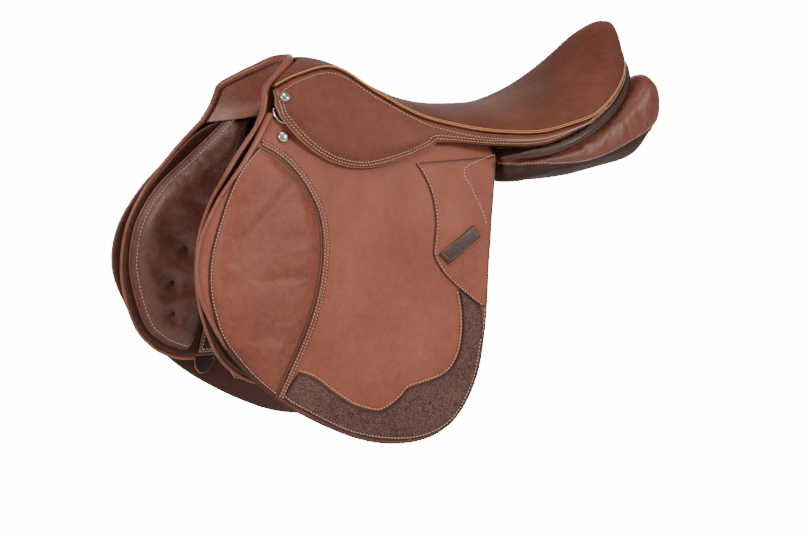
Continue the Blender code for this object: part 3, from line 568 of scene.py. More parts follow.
# ---------------------------------------------------------------- stitching
def stitch_shape():
    """One stitch, 1 long and 1 wide: a low rounded bar that dips at both ends."""
    sides = 6
    stations = [(-0.36, 0.42, 0.16), (-0.12, 0.5, 0.34), (0.12, 0.5, 0.34), (0.36, 0.42, 0.16)]
    points = [(-0.5, 0, -0.25)]
    for x, r, lift in stations:
        points += [(x, r * math.cos(a), lift + r * math.sin(a))
                   for a in np.linspace(0, 2 * math.pi, sides, endpoint=False)]
    points.append((0.5, 0, -0.25))
    faces = [(0, 1 + (j + 1) % sides, 1 + j) for j in range(sides)]
    for i in range(len(stations) - 1):
        a = 1 + i * sides
        faces += [(a + j, a + (j + 1) % sides, a + sides + (j + 1) % sides, a + sides + j)
                  for j in range(sides)]
    a, last = 1 + (len(stations) - 1) * sides, len(points) - 1
    faces += [(a + j, a + (j + 1) % sides, last) for j in range(sides)]
    return np.array(points), turned(faces)


def stitches(path, normal, row):
    """A row of stitches along a path; normal is the outward direction at each point, or one for all."""
    pitch, length, width = STITCH[row]
    path = np.asarray(path, float)
    normal = np.broadcast_to(np.asarray(normal, float), path.shape)
    both = even(np.hstack([path, normal]), pitch / 2)
    spots, ups = both[:, :3], both[:, 3:]
    if len(spots) < 3:
        return np.zeros((0, 3)), []
    middle = spots[1:-1:2]
    ahead = spots[2::2] - spots[:-2:2]
    count = min(len(middle), len(ahead))
    middle, ahead, ups = middle[:count], ahead[:count], ups[1:-1:2][:count]
    ahead /= np.linalg.norm(ahead, axis=1)[:, None]
    ups = ups - ahead * np.sum(ups * ahead, axis=1)[:, None]
    ups /= np.linalg.norm(ups, axis=1)[:, None]
    across = np.cross(ups, ahead)
    shape, faces = stitch_shape()
    shape = shape * (length, width, width)
    points = middle[:, None] + sum(direction[:, None] * shape[:, k, None]
                                   for k, direction in enumerate((ahead, across, ups)))
    all_faces = [tuple(k * len(shape) + v for v in f) for k in range(count) for f in faces]
    return points.reshape(-1, 3), all_faces


def side_normal(xz, height):
    """Outward direction at points on a side surface y = height(x, z)."""
    step = 1.0
    dx = (height(xz + (step, 0)) - height(xz - (step, 0))) / (2 * step)
    dz = (height(xz + (0, step)) - height(xz - (0, step))) / (2 * step)
    out = np.stack([-dx, np.ones(len(xz)), -dz], axis=1)
    return out / np.linalg.norm(out, axis=1)[:, None]


def stitched(xz, height, row):
    """A row of stitches along a run of (x, z) points on a side surface."""
    xz = even(xz, 2.0)
    on = np.stack([xz[:, 0], height(xz), xz[:, 1]], axis=1)
    return stitches(on, side_normal(xz, height), row)


def inset(run, depth):
    """An open run of (x, z) points moved to its left by depth."""
    run = np.asarray(run, float)
    direction = np.gradient(run, axis=0)
    direction /= np.linalg.norm(direction, axis=1)[:, None]
    return run + depth * np.stack([-direction[:, 1], direction[:, 0]], axis=1)


# ---------------------------------------------------------------- finishes
def node(tree, kind, settings=None, **inputs):
    """A shader node with some of its settings and inputs; an input may be another node's socket."""
    made = tree.nodes.new(kind)
    for key, value in (settings or {}).items():
        setattr(made, key, value)
    for key, value in inputs.items():
        socket = made.inputs[key.replace("_", " ")]
        if isinstance(value, bpy.types.NodeSocket):
            tree.links.new(value, socket)
        else:
            socket.default_value = value
    return made


def ramp(tree, factor, stops):
    made = node(tree, "ShaderNodeValToRGB", None, Fac=factor)
    elements = made.color_ramp.elements
    while len(elements) < len(stops):
        elements.new(0.5)
    for element, (at, colour) in zip(elements, stops):
        element.position = at
        element.color = (*colour, 1)
    return made.outputs["Color"]


def mix(tree, factor, a, b, blend="MIX"):
    made = node(tree, "ShaderNodeMix", {"data_type": "RGBA", "blend_type": blend})
    for index, value in ((0, factor), (6, a), (7, b)):
        if isinstance(value, bpy.types.NodeSocket):
            tree.links.new(value, made.inputs[index])
        else:
            made.inputs[index].default_value = value if index == 0 else (*value, 1)
    return made.outputs[2]


def start_material(name, metallic=0.0, roughness=0.5, coat=0.0, sheen=0.0):
    made = bpy.data.materials.new(name)
    made.use_nodes = True
    tree = made.node_tree
    shader = tree.nodes["Principled BSDF"]
    shader.inputs["Metallic"].default_value = metallic
    shader.inputs["Roughness"].default_value = roughness
    shader.inputs["Coat Weight"].default_value = coat
    shader.inputs["Sheen Weight"].default_value = sheen
    shader.inputs["Sheen Roughness"].default_value = 0.5
    place = tree.nodes.new("ShaderNodeTexCoord").outputs["Object"]
    return made, tree, shader, place


def noise_at(tree, place, scale, detail=3.0, rough=0.55):
    return node(tree, "ShaderNodeTexNoise", None, Vector=place, Scale=scale, Detail=detail,
                Roughness=rough).outputs["Fac"]


def leather(name, deep, base, light, edge, rough, grain=0.9, relief=0.00010, patches=0.5, speckle=0.0,
            gloss=0.34):
    """Leather with cloudy colour, a worn or burnished edge, pores, and the grain's own relief.

    grain is the size of its pebbles in millimetres and relief their height in metres.
    """
    made, tree, shader, place = start_material(name)
    shader.inputs["Specular IOR Level"].default_value = gloss
    cloud = noise_at(tree, place, 14.0, 4.0)
    fine = noise_at(tree, place, 120.0, 5.0, 0.65)
    pores = noise_at(tree, place, 900.0, 2.0)
    body = ramp(tree, cloud, [(0.32, deep), (0.52, base), (0.72, light)])
    mottled = ramp(tree, fine, [(0.3, deep), (0.55, base), (0.8, light)])
    colour = mix(tree, patches, body, mottled)
    cells = node(tree, "ShaderNodeTexVoronoi", None, Vector=place, Scale=1000.0 / grain)
    creases = ramp(tree, cells.outputs["Distance"], [(0.0, (1, 1, 1)), (0.75, (0.25, 0.25, 0.25))])
    if speckle:
        colour = mix(tree, ramp(tree, creases, [(0.3, (0, 0, 0)), (0.85, (speckle,) * 3)]), colour, light)
        colour = mix(tree, ramp(tree, creases, [(0.25, (0.8,) * 3), (0.6, (0, 0, 0))]), colour, deep)
    rim = node(tree, "ShaderNodeAttribute", {"attribute_name": "rim"}).outputs["Fac"]
    colour = mix(tree, rim, colour, edge)
    tree.links.new(colour, shader.inputs["Base Color"])
    low, high = rough
    dull = ramp(tree, fine, [(0.3, (low,) * 3), (0.7, (high,) * 3)])
    tree.links.new(dull, shader.inputs["Roughness"])
    pebble = node(tree, "ShaderNodeBump", None, Strength=1.0, Distance=relief, Height=creases)
    soft = node(tree, "ShaderNodeBump", None, Strength=1.0, Distance=relief * 1.3, Height=pores,
                Normal=pebble.outputs["Normal"])
    wide = node(tree, "ShaderNodeBump", None, Strength=0.6, Distance=relief * 6, Height=fine,
                Normal=soft.outputs["Normal"])
    tree.links.new(wide.outputs["Normal"], shader.inputs["Normal"])
    return made


def metal(name, colour, roughness):
    """Plated or forged metal with faint brushing and small scratches."""
    made, tree, shader, place = start_material(name, metallic=1.0)
    marks = noise_at(tree, place, 600.0, 4.0, 0.7)
    dirt = noise_at(tree, place, 60.0, 3.0)
    dark = tuple(c * 0.72 for c in colour)
    tree.links.new(ramp(tree, dirt, [(0.35, dark), (0.6, colour)]), shader.inputs["Base Color"])
    tree.links.new(ramp(tree, marks, [(0.3, (roughness * 0.7,) * 3), (0.75, (roughness * 1.4,) * 3)]),
                   shader.inputs["Roughness"])
    bump = node(tree, "ShaderNodeBump", None, Strength=0.5, Distance=0.00003, Height=marks)
    tree.links.new(bump.outputs["Normal"], shader.inputs["Normal"])
    return made


def thread(name, colour):
    """Waxed thread: twisted strands as a fine wave."""
    made, tree, shader, place = start_material(name, roughness=0.6, sheen=0.2)
    twist = node(tree, "ShaderNodeTexWave", {"bands_direction": "DIAGONAL"}, Vector=place, Scale=420.0,
                 Distortion=1.5, Detail=1.0)
    dark = tuple(c * 0.6 for c in colour)
    strands = twist.outputs["Fac"]
    tree.links.new(ramp(tree, strands, [(0.2, dark), (0.7, colour)]), shader.inputs["Base Color"])
    bump = node(tree, "ShaderNodeBump", None, Strength=0.6, Distance=0.00012, Height=strands)
    tree.links.new(bump.outputs["Normal"], shader.inputs["Normal"])
    return made


def woven(name, colour, dark):
    """Webbing: two crossed waves give its plain weave."""
    made, tree, shader, place = start_material(name, roughness=0.85, sheen=0.3)
    warp, weft = (node(tree, "ShaderNodeTexWave", {"bands_direction": way}, Vector=place, Scale=160.0,
                       Distortion=0.4).outputs["Color"] for way in "XY")
    weave = mix(tree, 1.0, warp, weft, "MULTIPLY")
    tree.links.new(ramp(tree, weave, [(0.05, dark), (0.5, colour)]), shader.inputs["Base Color"])
    bump = node(tree, "ShaderNodeBump", None, Strength=0.8, Distance=0.0004, Height=weave)
    tree.links.new(bump.outputs["Normal"], shader.inputs["Normal"])
    return made


def timber(name):
    """Laminated beech of the tree, with its long grain."""
    made, tree, shader, place = start_material(name, roughness=0.6, coat=0.15)
    run = node(tree, "ShaderNodeMapping", None, Vector=place)
    run.inputs["Scale"].default_value = (6.0, 60.0, 60.0)
    rings = noise_at(tree, run.outputs["Vector"], 6.0, 5.0, 0.6)
    tree.links.new(ramp(tree, rings, [(0.3, (0.30, 0.17, 0.08)), (0.7, (0.52, 0.34, 0.17))]),
                   shader.inputs["Base Color"])
    bump = node(tree, "ShaderNodeBump", None, Strength=0.4, Distance=0.0003, Height=rings)
    tree.links.new(bump.outputs["Normal"], shader.inputs["Normal"])
    return made


EDGE_DARK = (0.030, 0.011, 0.007)
EDGE_PALE = (0.30, 0.15, 0.085)
FLAP = leather("flap_leather", (0.200, 0.050, 0.027), (0.275, 0.077, 0.043), (0.345, 0.108, 0.064),
               EDGE_DARK, (0.56, 0.70), grain=0.8, relief=0.00007, patches=0.45)
PAD = leather("pad_leather", (0.160, 0.038, 0.021), (0.232, 0.062, 0.035), (0.310, 0.096, 0.057),
              EDGE_DARK, (0.44, 0.58), grain=1.3, relief=0.00016)
SEAT = leather("seat_leather", (0.090, 0.024, 0.013), (0.140, 0.040, 0.022), (0.190, 0.060, 0.034),
               EDGE_DARK, (0.60, 0.74), grain=0.8, relief=0.00007, gloss=0.2)
SKIRT = leather("skirt_leather", (0.115, 0.031, 0.017), (0.168, 0.049, 0.027), (0.220, 0.072, 0.041),
                EDGE_PALE, (0.58, 0.72), grain=0.8, relief=0.00007, patches=0.45, gloss=0.25)
PIPING = leather("piping_leather", (0.150, 0.037, 0.021), (0.225, 0.064, 0.036), (0.300, 0.096, 0.058),
                 EDGE_DARK, (0.34, 0.48), relief=0.00008, patches=0.4, gloss=0.45)
DARK = leather("dark_leather", (0.034, 0.014, 0.009), (0.056, 0.024, 0.016), (0.084, 0.038, 0.026),
               EDGE_DARK, (0.32, 0.44), relief=0.00007, patches=0.4, gloss=0.4)
GRIP = leather("grip_leather", (0.022, 0.007, 0.005), (0.075, 0.025, 0.017), (0.270, 0.120, 0.088),
               EDGE_DARK, (0.38, 0.54), grain=1.05, relief=0.00026, patches=0.6, speckle=0.7)
PANEL = leather("panel_leather", (0.110, 0.029, 0.016), (0.170, 0.050, 0.028), (0.225, 0.074, 0.043),
                EDGE_DARK, (0.34, 0.48), grain=1.1, relief=0.00012, gloss=0.42)
FRONT_PANEL = leather("front_panel_leather", (0.065, 0.017, 0.010), (0.112, 0.032, 0.019),
                      (0.160, 0.051, 0.030),
                      EDGE_DARK, (0.34, 0.48), grain=1.2, relief=0.00014, gloss=0.45)
# The gusset is the panel's leather painted much darker: painted shade for the little light that reaches the
# cushion's underside.
SHADED_GUSSET = leather("gusset_leather_painted_shade", (0.022, 0.008, 0.005), (0.040, 0.015, 0.010), (0.062, 0.024, 0.016),
                 EDGE_DARK, (0.48, 0.62), grain=1.0, gloss=0.25)
LINING = leather("lining_leather", (0.026, 0.010, 0.007), (0.050, 0.018, 0.012), (0.080, 0.029, 0.019),
                 EDGE_PALE, (0.52, 0.66), gloss=0.25)
BILLET = leather("billet_leather", (0.014, 0.007, 0.005), (0.028, 0.013, 0.010), (0.050, 0.025, 0.019),
                 EDGE_PALE, (0.46, 0.60), relief=0.00008, gloss=0.25)
CREAM = thread("cream_thread", (0.72, 0.50, 0.34))
BROWN_THREAD = thread("brown_thread", (0.34, 0.17, 0.10))
WELT = thread("orange_welt", (0.62, 0.26, 0.07))
NICKEL = metal("nickel_plate", (0.66, 0.62, 0.57), 0.22)
STEEL = metal("forged_steel", (0.50, 0.50, 0.51), 0.34)
WEBBING = woven("webbing_weave", (0.52, 0.47, 0.36), (0.20, 0.17, 0.12))
TIMBER = timber("tree_beech")


# ---------------------------------------------------------------- seat
def seat_surface(s, v, sink=0.0):
    """Points on the seat: s runs from pommel to cantle and v from the left edge to the right."""
    centre, edge = along(SEAT_CENTRE, s), along(SEAT_EDGE, s)
    a = np.abs(v)
    wall = np.clip((s - 0.55) / 0.4, 0, 1)
    crown = np.maximum(0.0, 1 - a ** (2.2 + 2.0 * wall)) ** (0.8 - 0.2 * wall)
    forward = a ** (1 + 0.6 * np.maximum(0.0, 1 - s / 0.3))
    x = centre[..., 0] + (edge[..., 0] - centre[..., 0]) * forward
    z = edge[..., 2] + (centre[..., 2] - edge[..., 2]) * crown
    y = np.copysign(edge[..., 1] * a, v)
    return np.stack([x - sink * 0.45 * s, y * (1 - sink / 110.0), z - sink], axis=-1)


def outward_at(s):
    """Level direction out of the seat's edge, which turns rearwards round the cantle."""
    turn = np.radians(85) * np.maximum(0.0, (s - 0.62) / 0.38) ** 1.3
    return np.stack([np.sin(turn), np.cos(turn), np.zeros_like(turn)], axis=-1)


def seat():
    """The padded seat leather, pressed out by its foam and held down along both welts."""
    rows, cols = SEAT_GRID
    s = np.linspace(0, 1, rows)[:, None] * np.ones(cols)
    v = np.sin(np.linspace(-1, 1, cols) * math.pi / 2) * np.ones((rows, 1))
    obj = as_mesh("seat", *close_grid(seat_surface(s, v), seat_surface(s, v, SEAT_LEATHER)), SEAT)
    bm = bmesh.new()
    bm.from_mesh(obj.data)
    bmesh.ops.remove_doubles(bm, verts=bm.verts, dist=0.00005)
    bmesh.ops.dissolve_degenerate(bm, edges=bm.edges, dist=0.00002)
    bm.normal_update()
    bm.to_mesh(obj.data)
    bm.free()
    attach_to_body(obj, "root")
    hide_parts("seat_cover", "seat_foam")


# ---------------------------------------------------------------- band and skirt
def skirt_height(xz):
    """Half-distance of the skirt's outer face, which bulges over the bar and the ring."""
    rise = np.minimum(1.0, distance(xz, curve(SKIRT_EDGE)) / SKIRT_BULGE_RUN)
    start, end = SKIRT_FRONT_RUN
    front = np.clip((end - xz[:, 0]) / (end - start), 0, 1)
    return (spread(xz[:, 1]) + SKIRT_EDGE_LIFT + SKIRT_BULGE * (3 * rise**2 - 2 * rise**3)
            + SKIRT_FRONT_RISE * front)


def band_rows(s):
    """For each place s along the welt, the band's points from the welt down to the loose edge."""
    top, foot = along(SEAT_EDGE, s), along(BAND_EDGE, s)
    top[:, 2] -= WELT_DROP
    skirt_end = SKIRT_FOLD[1][0]
    on_skirt = foot[:, 0] < skirt_end
    foot[on_skirt, 1] = skirt_height(foot[on_skirt][:, [0, 2]])
    share = np.clip((foot[:, 0] - foot[0, 0]) / (skirt_end - foot[0, 0]), 0, 1)
    low = along(SKIRT_EDGE, 0.13 + 0.87 * share**0.92)
    rows = []
    for k in range(len(s)):
        swell = outward_at(s[k]) * 2.4
        knots = [top[k] + (top[k] - foot[k]) * (0, 0, 0.02), (top[k] + foot[k]) / 2 + swell, foot[k]]
        if on_skirt[k]:
            for t in (0.35, 0.7, 1.0):
                p = foot[k][[0, 2]] * (1 - t) + low[k] * t
                knots.append((p[0], skirt_height(p[None])[0], p[1]))
        rows.append(knots)
    return rows


def band_and_skirt():
    """The leather below the welt: sewn down behind, and loose at its front and lower edge."""
    columns, down = SKIRT_GRID
    share = np.linspace(0, 1, down) ** 0.9
    outer = []
    for knots in band_rows(np.linspace(0.0, 0.995, columns)):
        line = even(along(knots, np.linspace(0, 1, 60)), 0.5)
        at = np.linspace(0, 1, len(line))
        outer.append(np.stack([np.interp(share, at, line[:, k]) for k in range(3)], axis=1))
    outer = np.array(outer)
    outer[..., 1] = np.maximum(outer[..., 1], 0.4)
    normal = np.cross(np.gradient(outer, axis=0), np.gradient(outer, axis=1))
    normal /= np.linalg.norm(normal, axis=2)[..., None] + 1e-9
    loose = np.concatenate([outer[0, ::-1], outer[:, -1]])
    d = distance(outer.reshape(-1, 3), loose).reshape(outer.shape[:2])
    half = SKIRT_THICKNESS / 2
    roundness = rounded(d, 1.5)[..., None]
    pressed = (0.35 * bell(d - 4.2, 0.9))[..., None]
    face = outer - normal * (half * (1 - roundness) + pressed)
    back = outer - normal * (half + half * roundness)
    rim = np.concatenate([bell(d, 0.9).ravel(), bell(d, 1.6).ravel()])
    sew("skirt_leather", (*close_grid(face, back), rim), SKIRT, "skirt",
        ["skirt_band", "skirt"])
    lower_half = np.arange(down) >= down * 0.45

    def edge_row(depth):
        """Path and normals at a depth inside the lower edge."""
        path, out = [], []
        for i in range(FIRST_STITCH, columns):
            j = int(np.argmax(lower_half & (d[i] <= depth)))
            t = np.clip((d[i, j - 1] - depth) / (d[i, j - 1] - d[i, j] + 1e-9), 0, 1)
            path.append(face[i, j - 1] * (1 - t) + face[i, j] * t)
            out.append(normal[i, j])
        return path, out
    rows = [stitches(*edge_row(depth), "skirt") for depth in SKIRT_ROWS]
    path, out = [], []
    for j in range(5, down - 9):
        i, t = crossing(d[:20, j], SKIRT_ROWS[0])
        path.append(face[i - 1, j] * (1 - t) + face[i, j] * t)
        out.append(normal[i, j])
    rows.append(stitches(path, out, "skirt"))
    sew("skirt_stitches", merged(rows), CREAM, "skirt")
    path, out = [], []
    for i in range(FIRST_STITCH, columns - 2):
        j, t = crossing(lengths(face[i]), 5.2 + 10.0 * np.exp(-i / 9.0))
        path.append(face[i, j - 1] * (1 - t) + face[i, j] * t)
        out.append(normal[i, j])
    sew("welt_stitches", stitches(path, out, "welt"), CREAM, "root")


def welts():
    """The orange welt round the seat: one cord in front that becomes two beside each other."""
    s = np.linspace(0.01, 0.985, 150)
    edge, out = along(SEAT_EDGE, s), outward_at(s)
    apart = np.clip((s - 0.1) / 0.12, 0, 1)[:, None]
    up = np.array((0, 0, 1.0))
    upper = edge + out * 1.2 + up * (0.1 + 0.4 * apart)
    lower = edge + out * (1.4 + 0.5 * apart) - up * (0.3 + 0.9 * apart)
    for line in (upper, lower):
        line[:, 1] = np.maximum(line[:, 1], 1.2)
    cords = merged([tube(line, WELT_RADIUS, 8) for line in (upper, lower)])
    sew("seat_welt", cords, WELT, "root", ["seat_welt"])
    bed = edge - out * 0.6 - up * 0.9
    bed[:, 1] = np.maximum(bed[:, 1], 0.9)
    sew("welt_bed", tube(bed, WELT_BED_RADIUS, 10), SEAT, "root")


def cantle_rolls():
    """The dark roll under the cantle, thin at its front tip and a little thinner to the rear."""
    run = curve(ROLL_CURVE, 3.0)
    t = np.linspace(0, 1, len(run))
    radius = ROLL_RADIUS * np.minimum(1.0, 0.3 + 6.0 * t) * (1 - 0.12 * t)
    sew("cantle_roll", tube(run, radius, 18), DARK, "root", ["cantle_roll"])


# ---------------------------------------------------------------- pommel
def pommel():
    """The binding rolls down both front edges and the padded facing inside the arch."""
    arch = both_halves(curve(BINDING_CURVE, 2.5))
    t = np.abs(np.linspace(-1, 1, len(arch)))
    binding = as_mesh("pommel_binding_roll", *tube(arch, BINDING_RADIUS * (1.06 - 0.25 * t), 18), PIPING)
    outer = curve(np.array(BINDING_CURVE, float) + (2.0, -0.5, -1.5), 2.0)
    inner = both_halves(along(FACING_INNER, np.linspace(0, 1, len(outer))))
    outer = both_halves(outer)
    inwards = np.linspace(0, 1, 26)
    share = inwards[:, None, None]
    bulge = 3.4 * np.sin(share * math.pi) ** 0.6
    gather = np.cos(np.linspace(-1, 1, len(outer)) * 9)[None, :, None]
    face = outer * (1 - share) + inner * share
    face = face - np.array((0.94, 0, 0.34)) * (bulge + 0.7 * np.sin(share * math.pi * 2) * gather)
    face = np.swapaxes(face, 0, 1)
    points, faces = close_grid(face, face + (3.0, 0, 0))
    inwards = np.tile(inwards, len(outer) * 2)
    rim = np.clip(1.4 * bell(1 - inwards, 0.12) + bell(inwards, 0.06), 0, 1)
    facing = as_mesh("pommel_lining", points, turned(faces), PIPING, rim)
    for obj, node_name in ((binding, "pommel_binding"), (facing, "pommel_facing")):
        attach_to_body(obj, "root")
        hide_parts(node_name)


# ---------------------------------------------------------------- flap and what is sewn to it
def flaps():
    """The main flap, the roll along its front edge and the seam round its rear and foot."""
    outline = joined(curve(FLAP_CURVE, 3.0), even(FLAP_TOP, 5.0))

    def relief(p, d):
        return 0.35 * lumps_on(p, 60.0, 1.0) * np.clip(d / 30, 0, 1) - 0.3 * bell(d - 3.6, 1.0)
    points, faces, rim = sheet_of(outline, 5.0, *LAYERS["flap"], relief)
    rough_side = points[:, 1] < spread(points[:, 2]) - FLAP_THICKNESS * 0.6
    sew("flap_leather", (points, faces, np.where(rough_side, 0.85, rim)), FLAP, "flap",
        ["flap_top", "flap"])
    front = curve(FLAP_CURVE[:6], 3.0)
    t = np.linspace(0, 1, len(front))
    radius = (2.3 + 1.6 * np.clip(1 - t * 3.0, 0, 1)) * np.clip((1 - t) * 12 + 0.3, 0, 1)
    sew("flap_piping", tube(on_side(inset(front, 1.2), -0.2), radius, 14), PIPING, "flap")
    seam = inset(curve(FLAP_CURVE[8:], 3.0), 3.6)
    sew("flap_edge_stitches", stitched(seam, side_at(0.0), "flap_edge"), CREAM, "flap")


def pad_height(xz, d):
    """Outer face of the knee pad: a flat sewn border, then a full soft crown with one crease."""
    full = np.sin(np.clip((d - PAD_BORDER) / 21.0, 0, 1) * math.pi / 2) ** 0.75
    crease = distance(xz, curve(PAD_CREASE))
    dent = 2.2 * bell(crease, 9.0) * np.clip((d - 6) / 12, 0, 1)
    soft = 0.7 * lumps_on(xz, 30.0, 3.0) * full
    return PAD_COVER + (PAD_THICKNESS - PAD_COVER) * full - dent + soft - 0.5 * bell(d - 2.4, 0.8)


def knee_pads():
    """The stuffed knee pad, the strip sewn over its rear border, and the rows that hold both."""
    front, rear = curve(KNEE_PAD[:9], 2.6), curve(KNEE_PAD[8:] + KNEE_PAD[:1], 2.6)
    outline = joined(front, rear)
    points, faces, rim = sheet_of(outline, 3.4, *LAYERS["pad"], rims=(0.4, 1.2, 2.4, 3.6, 5.4, 7.5),
                                  relief=lambda p, d: pad_height(p, d) - PAD_COVER,
                                  under=lambda p, d: spread(p[:, 1]) + PAD_LIFT)
    at = points[:, [0, 2]]
    on_flap = points[:, 1] < spread(at[:, 1]) + PAD_LIFT + 0.05
    held = on_flap | (distance(at, outline, closed=True) < PAD_BORDER)
    points = stuffed(points, faces, held, most=3.0, spare=0.014)
    pads = sew("knee_pad_cushion", (points, faces, rim), PAD, "flap", ["knee_pad"])
    strip = joined(inset(rear, -2.2), inset(rear, -PAD_STRIP)[::-1])
    sew("knee_pad_strip", sheet_of(strip, 2.4, *LAYERS["strip"], rims=(0.4, 1.0)), PAD, "flap",
        worn=0.5)
    rows = [stitched(inset(front, 2.2), side_at(PAD_LIFT + 1.5), "pad")]
    rows += [stitched(inset(rear, depth), side_at(1.25), "strip") for depth in (-4.4, 1.6 - PAD_STRIP)]
    sew("knee_pad_stitches", merged(rows), CREAM, "flap")


def grip_patches():
    """The grained dark overlay round the flap's foot."""
    inner, outer = curve(GRIP_INNER, 2.6), curve(GRIP_OUTER, 3.0)
    outline = joined(inner, even([GRIP_INNER[-1], GRIP_CORNER, GRIP_OUTER[0]], 2.6), outer,
                     even([GRIP_OUTER[-1], GRIP_INNER[0]], 2.6))
    overlay = sheet_of(outline, 4.0, *LAYERS["grip"], groove(0.35, 2.6, 0.8))
    sew("grip_overlay", overlay, GRIP, "flap", ["grip_patch"])
    rows = [stitched(run, side_at(2.0), "grip") for run in (inset(outer, -2.6), inset(inner, 2.6))]
    sew("grip_stitches", merged(rows), CREAM, "flap")


def rear_patches():
    """The stitched overlay at the flap's rear, the row of stitches on it, and the blank tab."""
    front = curve(REAR_PATCH, 2.6)
    outline = joined(front, even(REAR_PATCH_EDGE, 2.6), even([REAR_PATCH_EDGE[-1], REAR_PATCH[0]], 3.0))
    overlay = sheet_of(outline, 4.5, *LAYERS["rear"], groove(0.25, 2.2, 0.8))
    sew("rear_overlay", overlay, FLAP, "flap", ["rear_patch"], worn=0.8)
    rows = [stitched(run, side_at(1.6), "rear") for run in (inset(front, 2.2), curve(VEE_STITCH, 2.6))]
    sew("rear_overlay_stitches", merged(rows), CREAM, "flap")
    tab = sheet_of(polygon(FLAP_TAB, 1.6), 2.6, *LAYERS["label"], groove(0.35, 3.0, 0.5),
                   rims=(0.4, 1.1, 2.2))
    sew("flap_label_blank", tab, DARK, "flap", ["flap_tab"], worn=0.0)
    loop = polygon(drawn_in(FLAP_TAB, 0.9, 0.78), 1.6)
    sew("flap_label_stitches", stitched(loop, side_at(4.2), "label"), BROWN_THREAD, "flap")


# ---------------------------------------------------------------- panels
def panel_rings():
    """Rings of points round the rear panel; each seam of its gusset runs along one column."""
    sections = along(PANEL_SECTIONS, np.linspace(0, 1, 230))
    x, y, z, half, depth, slope = (sections[:, k, None] for k in range(6))
    tilt = np.radians(slope)

    def on_ring(turn):
        c, s = np.cos(turn), np.sin(turn)
        a = half * np.copysign(np.abs(c) ** 0.75, c)
        b = depth * np.copysign(np.abs(s) ** 0.75, s)
        return np.stack([x + 0 * a, y + a * np.cos(tilt) + b * np.sin(tilt),
                         z - a * np.sin(tilt) + b * np.cos(tilt)], axis=-1)
    turn = np.linspace(-math.pi / 2, 1.5 * math.pi, 720)[None]
    off = np.abs(on_ring(turn)[..., 2] - value_at(PANEL_SEAM, x))
    outer, inner = turn[0, off[:, :360].argmin(axis=1)], turn[0, 360 + off[:, 360:].argmin(axis=1)]
    even_out = np.ones(9) / 9
    outer, inner = (np.convolve(np.pad(t, 4, "edge"), even_out, "valid")[:, None] for t in (outer, inner))
    upper = outer + (inner - outer) * np.linspace(0, 1, PANEL_TOP_COLUMNS, endpoint=False)
    lower = inner + (outer + 2 * math.pi - inner) * np.linspace(0, 1, PANEL_GUSSET_COLUMNS, endpoint=False)
    ring = on_ring(np.concatenate([upper, lower], axis=1))
    out = ring - np.concatenate([x, y, z], axis=1)[:, None]
    return ring, out / (np.linalg.norm(out, axis=2)[..., None] + 1e-9)


def rear_panels():
    """The stuffed cushions under the seat, with a gusset seam and small gathers below the roll."""
    ring, out = panel_rings()
    rows, around = ring.shape[:2]
    seams = np.minimum(np.linalg.norm(ring - ring[:, :1], axis=2),
                       np.linalg.norm(ring - ring[:, PANEL_TOP_COLUMNS, None], axis=2))
    behind = (ring[..., 0] > 5).ravel()
    flat, outwards = ring.reshape(-1, 3), out.reshape(-1, 3)
    near_seam = bell(seams.ravel(), 3.0) * behind
    above = flat[:, 2] - value_at(PANEL_SEAM, flat[:, 0])
    gather = lumps(flat * (1.0, 1.0, 0.35), 7.0, 4.0) * bell(above - 22, 14.0) * behind
    soft = lumps(flat, 38.0, 5.0)
    flat = flat + outwards * (0.9 * soft + 0.45 * gather - 1.5 * near_seam)[:, None]
    faces = turned(grid_faces(rows, around, around=True))
    faces += [tuple(range(around)), tuple((rows - 1) * around + j for j in reversed(range(around)))]
    held = (near_seam > 0.2) | (flat[:, 0] < 12) | (outwards[:, 2] > 0.45) | (flat[:, 0] > 226)
    flat = stuffed(flat, faces, held, most=2.5, spare=0.006)
    # The gusset faces take the darker gusset material, which paints shade on the cushion's underside.
    pieces = pair("panel_cushion", flat, faces, [PANEL, SHADED_GUSSET], near_seam * 0.6)
    for obj in pieces.values():
        for face in obj.data.polygons:
            columns = [v % around for v in face.vertices]
            gusset = all(c >= PANEL_TOP_COLUMNS or c == 0 for c in columns) and face.center.x > 5 * MM
            face.material_index = int(gusset)
    attach(pieces, "root", ["panel"])
    grid = flat.reshape(rows, around, 3)
    sewn = (grid[:, 0, 0] > 8) & (grid[:, 0, 0] < 225)
    upward = grid[sewn, 1] - grid[sewn, 0]
    path = grid[sewn, 0] + upward / np.linalg.norm(upward, axis=1)[:, None] * 2.2
    sew("panel_seam_stitches", stitches(path, out[sewn, 0], "panel"), CREAM, "root")


def panel_inner(xz, d):
    """Inner face of the front panel, stuffed, with three tufts drawn in."""
    full = 0.30 + 0.70 * np.sin(np.clip(d / 28.0, 0, 1) * math.pi / 2)
    dent = np.zeros(len(xz))
    for tuft in TUFTS:
        away = np.hypot(*(xz - tuft).T)
        angle = np.arctan2(xz[:, 1] - tuft[1], xz[:, 0] - tuft[0])
        pull = 1 + 0.25 * np.cos(3 * angle + tuft[1])
        dent += 5.5 * bell(away, 8.0) + 2.6 * bell(away, 19.0 * pull)
    soft = 0.8 * lumps_on(xz, 34.0, 6.0)
    return spread(xz[:, 1]) + PANEL_OUTER - PANEL_DEPTH * full + dent * np.clip(d / 10, 0, 1) - soft


